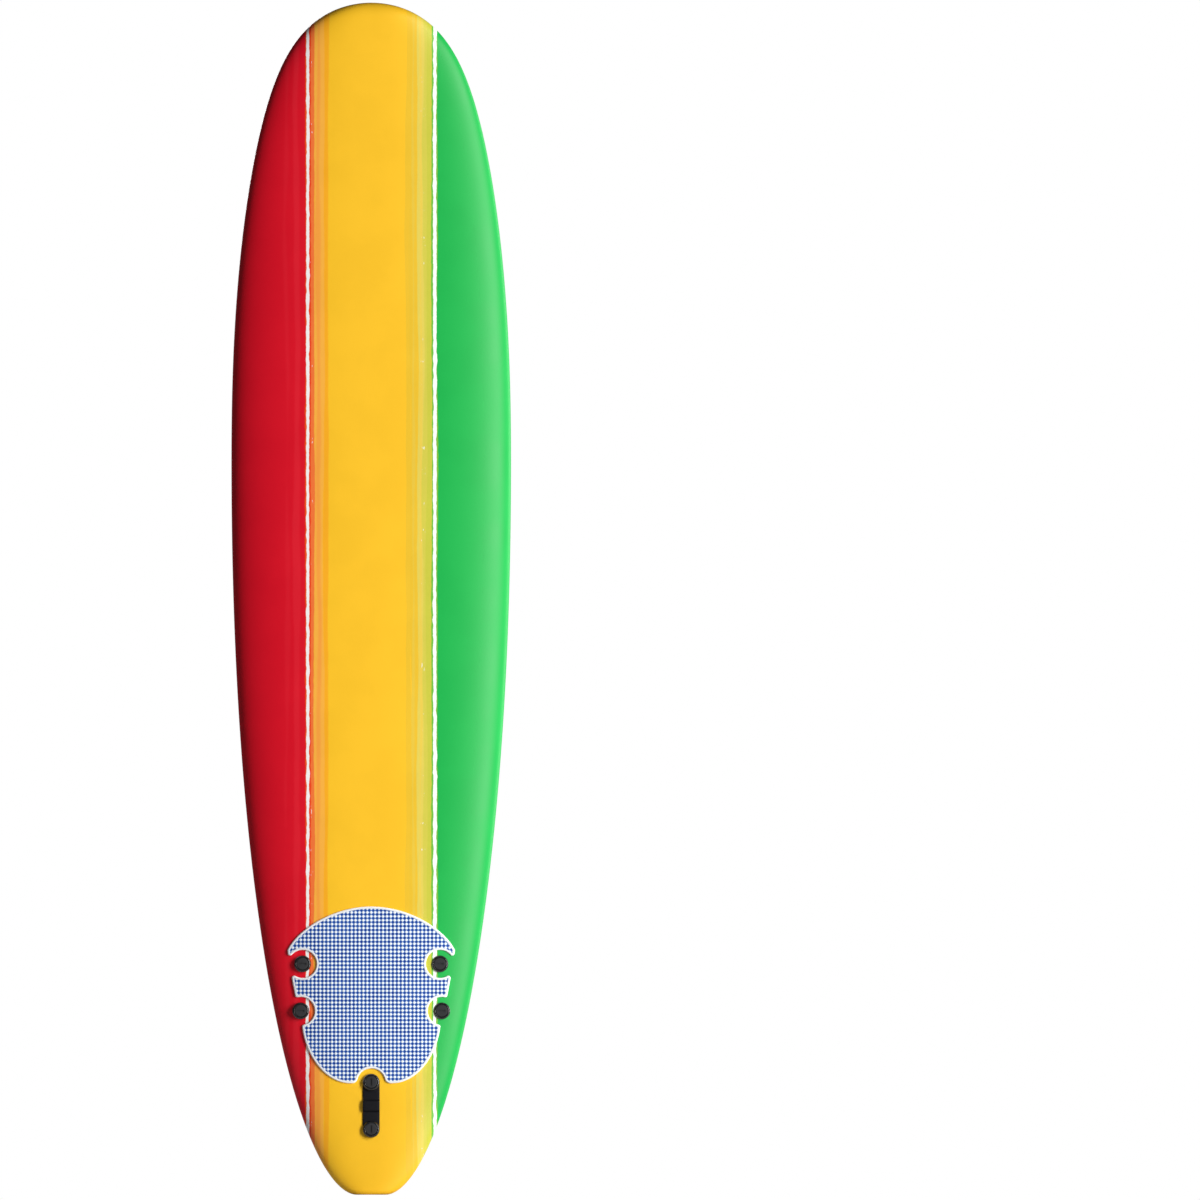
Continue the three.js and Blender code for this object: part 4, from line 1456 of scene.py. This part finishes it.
def pad_cells():
    """Moulded foam: white cells and border over blue grooves, from the same cosines as the relief."""
    paint = colours_of()
    material, wires, shader, place = new_material("Pad Foam", 0.8, Specular_IOR_Level=0.25)
    parts = wires.add("ShaderNodeSeparateXYZ", {0: place}).outputs
    turn = 2 * math.pi / sizes_of().cell_pitch
    waves = [wires.maths("COSINE", wires.maths("MULTIPLY", parts[axis], turn)) for axis in (0, 2)]
    field = wires.maths("MULTIPLY", wires.maths("ADD", *waves), 0.5)
    raised = wires.step(field, 0.0, 0.55)
    ties = wires.step(field, -0.5, 0.2)
    edge = wires.add("ShaderNodeAttribute", attribute_name="edge").outputs["Fac"]
    border = wires.step(edge, 5.0 * MM, 4.0 * MM)
    grain = wires.group(grain_group(), {"Position": place, "Pore Scale": 1500.0, "Mottle Scale": 30.0})
    blue = wires.mix(grain["Mottle"], tuple(paint.pad_blue), linear(6, 48, 138))
    grey_rim = wires.maths("MULTIPLY", wires.step(edge, 2.4 * MM, 3.6 * MM), 0.45)
    white = wires.mix(
        wires.maths("MULTIPLY", grey_rim, border), tuple(paint.pad_white), linear(170, 178, 200)
    )
    blue = wires.mix(ties, blue, tuple(paint.pad_ties))
    mask = wires.maths("MAXIMUM", raised, border)
    wires.feed(shader["Base Color"], wires.mix(mask, blue, white))
    rough_range(wires, shader, grain["Mottle"], 0.74, 0.86)
    bump(wires, shader, grain["Height"], 0.25, 0.25 * MM)
    return material


def moulded(name, colour, worn, low, high, pores, specular=0.5, coat=0.0):
    """Moulded plastic or rubber: a fine grain, a mottled gloss and paler handling scuffs."""
    material, wires, shader, place = new_material(
        name, low, Specular_IOR_Level=specular, Coat_Weight=coat, Coat_Roughness=0.2
    )
    grain = wires.group(grain_group(), {"Position": place, "Pore Scale": pores, "Mottle Scale": 35.0})
    scuff = wires.group(scuff_group(), {"Position": place, "Scale": 220.0, "Amount": 0.5})["Mask"]
    wires.feed(shader["Base Color"], wires.mix(scuff, colour, worn))
    rough_range(wires, shader, wires.maths("ADD", grain["Mottle"], scuff), low, high)
    bump(wires, shader, grain["Height"], 0.15, 0.12 * MM)
    return material


def bead_foam():
    """Expanded foam: close-packed beads with thin dark seams between them."""
    material, wires, shader, place = new_material("Core Foam", 0.9, Specular_IOR_Level=0.2)
    beads = wires.texture("Voronoi", {"Vector": place, "Scale": 260.0}, "Distance")
    round_off = wires.step(beads, 0.35, 0.8)
    wires.feed(
        shader["Base Color"], wires.mix(round_off, linear(246, 246, 242), linear(214, 214, 210))
    )
    rough_range(wires, shader, round_off, 0.85, 0.98)
    height = wires.step(beads, 0.2, 0.8, 1.0, 0.0)
    bump(wires, shader, height, 0.4, 0.8 * MM)
    return material


def stringer_wood():
    """Light plywood: growth rings stretched along the board, with fine pores."""
    material, wires, shader, place = new_material("Stringer Wood", 0.6, Specular_IOR_Level=0.3)
    stretched = wires.scaled(place, (1, 1, 0.04))
    growth = {"Scale": 60.0, "Distortion": 6.0, "Detail": 3.0, "Detail Scale": 1.5}
    rings = wires.texture("Wave", {"Vector": stretched, **growth}, bands_direction="Y")
    pores = wires.texture("Noise", {"Vector": stretched, "Scale": 900.0, "Detail": 3.0})
    wood = wires.mix(rings, linear(214, 172, 112), linear(176, 128, 74))
    pitted = wires.mix(wires.step(pores, 0.6, 0.75), wood, linear(120, 82, 46))
    wires.feed(shader["Base Color"], pitted)
    rough_range(wires, shader, rings, 0.52, 0.68)
    bump(wires, shader, pores, 0.2, 0.2 * MM)
    return material


def turned_brass():
    """Turned brass: fine tool rings round the post and a little tarnish."""
    material, wires, shader, place = new_material("Post Brass", 0.3, Metallic=1.0)
    grain = wires.group(grain_group(), {"Position": place, "Pore Scale": 700.0, "Mottle Scale": 60.0})
    brass = wires.mix(grain["Mottle"], linear(203, 164, 84), linear(166, 128, 62))
    wires.feed(shader["Base Color"], brass)
    rough_range(wires, shader, grain["Mottle"], 0.24, 0.42)
    tool = wires.texture("Wave", {"Vector": place, "Scale": 520.0}, bands_direction="Y")
    bump(wires, shader, tool, 0.12, 0.08 * MM)
    return material


# ---- operators ----


class BuildOperator:
    """What the operators of this board share."""

    bl_options = {"REGISTER", "UNDO"}


class SURFBOARD_OT_deck_skin(BuildOperator, bpy.types.Operator):
    """Builds the soft deck skin, which wraps the rails, and prints its bands"""

    bl_idname = "surfboard.deck_skin"
    bl_label = "Deck Skin"

    def execute(self, context):
        finished(make_deck_skin(), "board", printed_foam(), ["deck_skin"])
        return {"FINISHED"}


class SURFBOARD_OT_bottom_sheet(BuildOperator, bpy.types.Operator):
    """Builds the slick sheet of the bottom"""

    bl_idname = "surfboard.bottom_sheet"
    bl_label = "Bottom Sheet"

    def execute(self, context):
        finished(make_bottom_sheet(), "board", slick_sheet(), ["bottom_skin"])
        return {"FINISHED"}


class SURFBOARD_OT_grip_pad(BuildOperator, bpy.types.Operator):
    """Builds the traction pad with its moulded cells"""

    bl_idname = "surfboard.grip_pad"
    bl_label = "Grip Pad"

    def execute(self, context):
        pad = finished(make_grip_pad(), "board", pad_cells(), ["traction_pad"])
        return {"FINISHED"}


class SURFBOARD_OT_leash_strap(BuildOperator, bpy.types.Operator):
    """Builds the rubber strap that takes the leash"""

    bl_idname = "surfboard.leash_strap"
    bl_label = "Leash Strap"

    def execute(self, context):
        rubber = moulded(
            "Strap Rubber", tuple(colours_of().rubber), linear(40, 40, 46), 0.5, 0.65, 900.0, 0.2
        )
        finished(make_leash_strap(), "board", rubber, ["leash_strap"])
        return {"FINISHED"}


class SURFBOARD_OT_washers(BuildOperator, bpy.types.Operator):
    """Builds the six cup washers"""

    bl_idname = "surfboard.washers"
    bl_label = "Cup Washers"

    def execute(self, context):
        glossy = moulded(
            "Washer Plastic", tuple(colours_of().black), linear(74, 74, 78), 0.16, 0.26, 1200.0, 0.6, 0.7
        )
        for name, matrix in bolt_matrices().items():
            piece = new_piece(f"cup_washer_{name}", make_washer(name, matrix))
            finished(piece, f"{name}_bolt", glossy, [f"washer_{name}"])
        return {"FINISHED"}


class SURFBOARD_OT_bolts(BuildOperator, bpy.types.Operator):
    """Builds the six slotted bolts"""

    bl_idname = "surfboard.bolts"
    bl_label = "Slotted Bolts"

    def execute(self, context):
        satin = moulded(
            "Bolt Plastic", linear(46, 46, 48), linear(80, 80, 84), 0.45, 0.6, 1600.0, 0.3
        )
        for name, matrix in bolt_matrices().items():
            piece = make_bolt(name, matrix)
            finished(piece, f"{name}_bolt", satin, [f"bolt_{name}"])
        return {"FINISHED"}


class SURFBOARD_OT_fins(BuildOperator, bpy.types.Operator):
    """Builds the three fins"""

    bl_idname = "surfboard.fins"
    bl_label = "Fins"

    def execute(self, context):
        plastic = moulded(
            "Fin Plastic", tuple(colours_of().black), linear(34, 34, 37), 0.26, 0.34, 1000.0, 0.5
        )
        for name, matrix in fin_matrices().items():
            piece = make_fin(name, matrix)
            finished(piece, f"{name}_fin", plastic, [f"fin_{name}"])
        return {"FINISHED"}


class SURFBOARD_OT_inner_parts(BuildOperator, bpy.types.Operator):
    """Gives the cores, stringers, sleeves and posts their materials"""

    bl_idname = "surfboard.inner_parts"
    bl_label = "Inner Parts"

    def execute(self, context):
        sleeve = moulded(
            "Sleeve Plastic", linear(217, 217, 214), linear(190, 190, 188), 0.4, 0.55, 900.0, 0.4
        )
        finishes = {
            "core_": bead_foam(),
            "stringer_": stringer_wood(),
            "sleeve_": sleeve,
            "post_": turned_brass(),
        }
        for prefix, material in finishes.items():
            named = [node for name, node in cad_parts.items() if name.startswith(prefix)]
            if not named:
                raise RuntimeError(f"the frame has no node that starts with {prefix}")
            for node in named:
                for material_slot in node.material_slots:
                    material_slot.material = material
        return {"FINISHED"}


def add_light(name, place, aim, size, power):
    """Oblong soft light at a place, turned to face its aim."""
    data = bpy.data.lights.new(name, "AREA")
    data.shape = "RECTANGLE"
    data.size, data.size_y = size
    data.energy = power
    light = bpy.data.objects.new(name, data)
    bpy.context.scene.collection.objects.link(light)
    back = np.array(place) - np.array(aim)
    light.location = place
    light.rotation_mode = "QUATERNION"
    light.rotation_quaternion = Vector(-back).to_track_quat("-Z", "Y")
    return light


def pale_floor():
    """Pale mottled floor that fades out with distance, so that no horizon shows."""
    material, wires, shader, place = new_material("Studio Floor", 0.8, Specular_IOR_Level=0.1)
    grain = wires.group(grain_group(), {"Position": place, "Pore Scale": 60.0, "Mottle Scale": 2.0})
    tone = wires.mix(grain["Mottle"], (0.84, 0.84, 0.85, 1), (0.87, 0.87, 0.88, 1))
    wires.feed(shader["Base Color"], tone)
    away = wires.add("ShaderNodeVectorMath", {0: place}, operation="LENGTH").outputs["Value"]
    wires.feed(shader["Alpha"], wires.step(away, *FLOOR_FADE, 0.0, FLOOR_ALPHA))
    return material


class SURFBOARD_OT_stage(BuildOperator, bpy.types.Operator):
    """Sets up the pale floor, the soft lights, the white surround and the camera"""

    bl_idname = "surfboard.stage"
    bl_label = "Stage"

    def execute(self, context):
        scene = context.scene
        corners = np.array([[-1, -1], [1, -1], [1, 1], [-1, 1]]) * FLOOR_REACH
        low = CAD_LOW.z - 0.5 * MM
        points = np.column_stack([corners, np.full(4, low)])
        mesh = bpy.data.meshes.new("studio_floor")
        mesh.from_pydata(points.tolist(), [], [(0, 1, 2, 3)])
        mesh.materials.append(pale_floor())
        floor = new_piece("studio_floor", mesh)

        for light in LIGHTS:
            add_light(*light)

        world = scene.world or bpy.data.worlds.new("Studio")
        scene.world = world
        world.use_nodes = True
        world.node_tree.nodes.clear()
        wires = Wiring(world.node_tree)
        kind = "ShaderNodeBackground"
        seen = wires.add(kind, {"Color": (1, 1, 1, 1), "Strength": 1.0})
        fill = wires.add(kind, {"Color": (0.96, 0.98, 1, 1), "Strength": FILL_STRENGTH})
        path = wires.add("ShaderNodeLightPath").outputs["Is Camera Ray"]
        mix = wires.add("ShaderNodeMixShader", {0: path, 1: fill.outputs[0], 2: seen.outputs[0]})
        wires.add("ShaderNodeOutputWorld", {"Surface": mix.outputs[0]})

        camera = bpy.data.objects.new("camera", bpy.data.cameras.new("camera"))
        scene.collection.objects.link(camera)
        camera.data.type = "ORTHO"
        camera.data.ortho_scale = CAMERA_SPAN
        camera.data.clip_end = CAMERA_REACH
        camera.location = CAMERA_PLACE
        camera.rotation_euler = (math.pi / 2, 0.0, 0.0)
        scene.camera = camera
        scene.view_settings.view_transform = "Standard"
        return {"FINISHED"}


class SURFBOARD_PT_panel(bpy.types.Panel):
    """Lists the operators that build the board"""

    bl_label = "Surfboard"
    bl_idname = "SURFBOARD_PT_panel"
    bl_space_type = "VIEW_3D"
    bl_region_type = "UI"
    bl_category = "Surfboard"

    def draw(self, context):
        for operator in OPERATORS:
            self.layout.operator(operator.bl_idname)
        for group in (shape_of(), sizes_of(), colours_of()):
            box = self.layout.box()
            for key in group.__annotations__:
                box.prop(group, key)


OPERATORS = (
    SURFBOARD_OT_stage,
    SURFBOARD_OT_deck_skin,
    SURFBOARD_OT_bottom_sheet,
    SURFBOARD_OT_grip_pad,
    SURFBOARD_OT_leash_strap,
    SURFBOARD_OT_washers,
    SURFBOARD_OT_bolts,
    SURFBOARD_OT_fins,
    SURFBOARD_OT_inner_parts,
)
GROUPS = {
    "surfboard_shape": BoardShape,
    "surfboard_sizes": HardwareSizes,
    "surfboard_colours": BoardColours,
}


def register():
    """Registers the classes and gives the scene its settings."""
    for each in (*GROUPS.values(), *OPERATORS, SURFBOARD_PT_panel):
        bpy.utils.register_class(each)
    for key, group in GROUPS.items():
        setattr(bpy.types.Scene, key, bpy.props.PointerProperty(type=group))


def unregister():
    """Takes back what register made."""
    for key in GROUPS:
        delattr(bpy.types.Scene, key)
    for each in reversed((*GROUPS.values(), *OPERATORS, SURFBOARD_PT_panel)):
        bpy.utils.unregister_class(each)


def main():
    """Registers the classes and builds the board by running each operator in turn."""
    register()
    for operator in OPERATORS:
        family, name = operator.bl_idname.split(".")
        getattr(getattr(bpy.ops, family), name)()


if __name__ == "__main__":
    main()
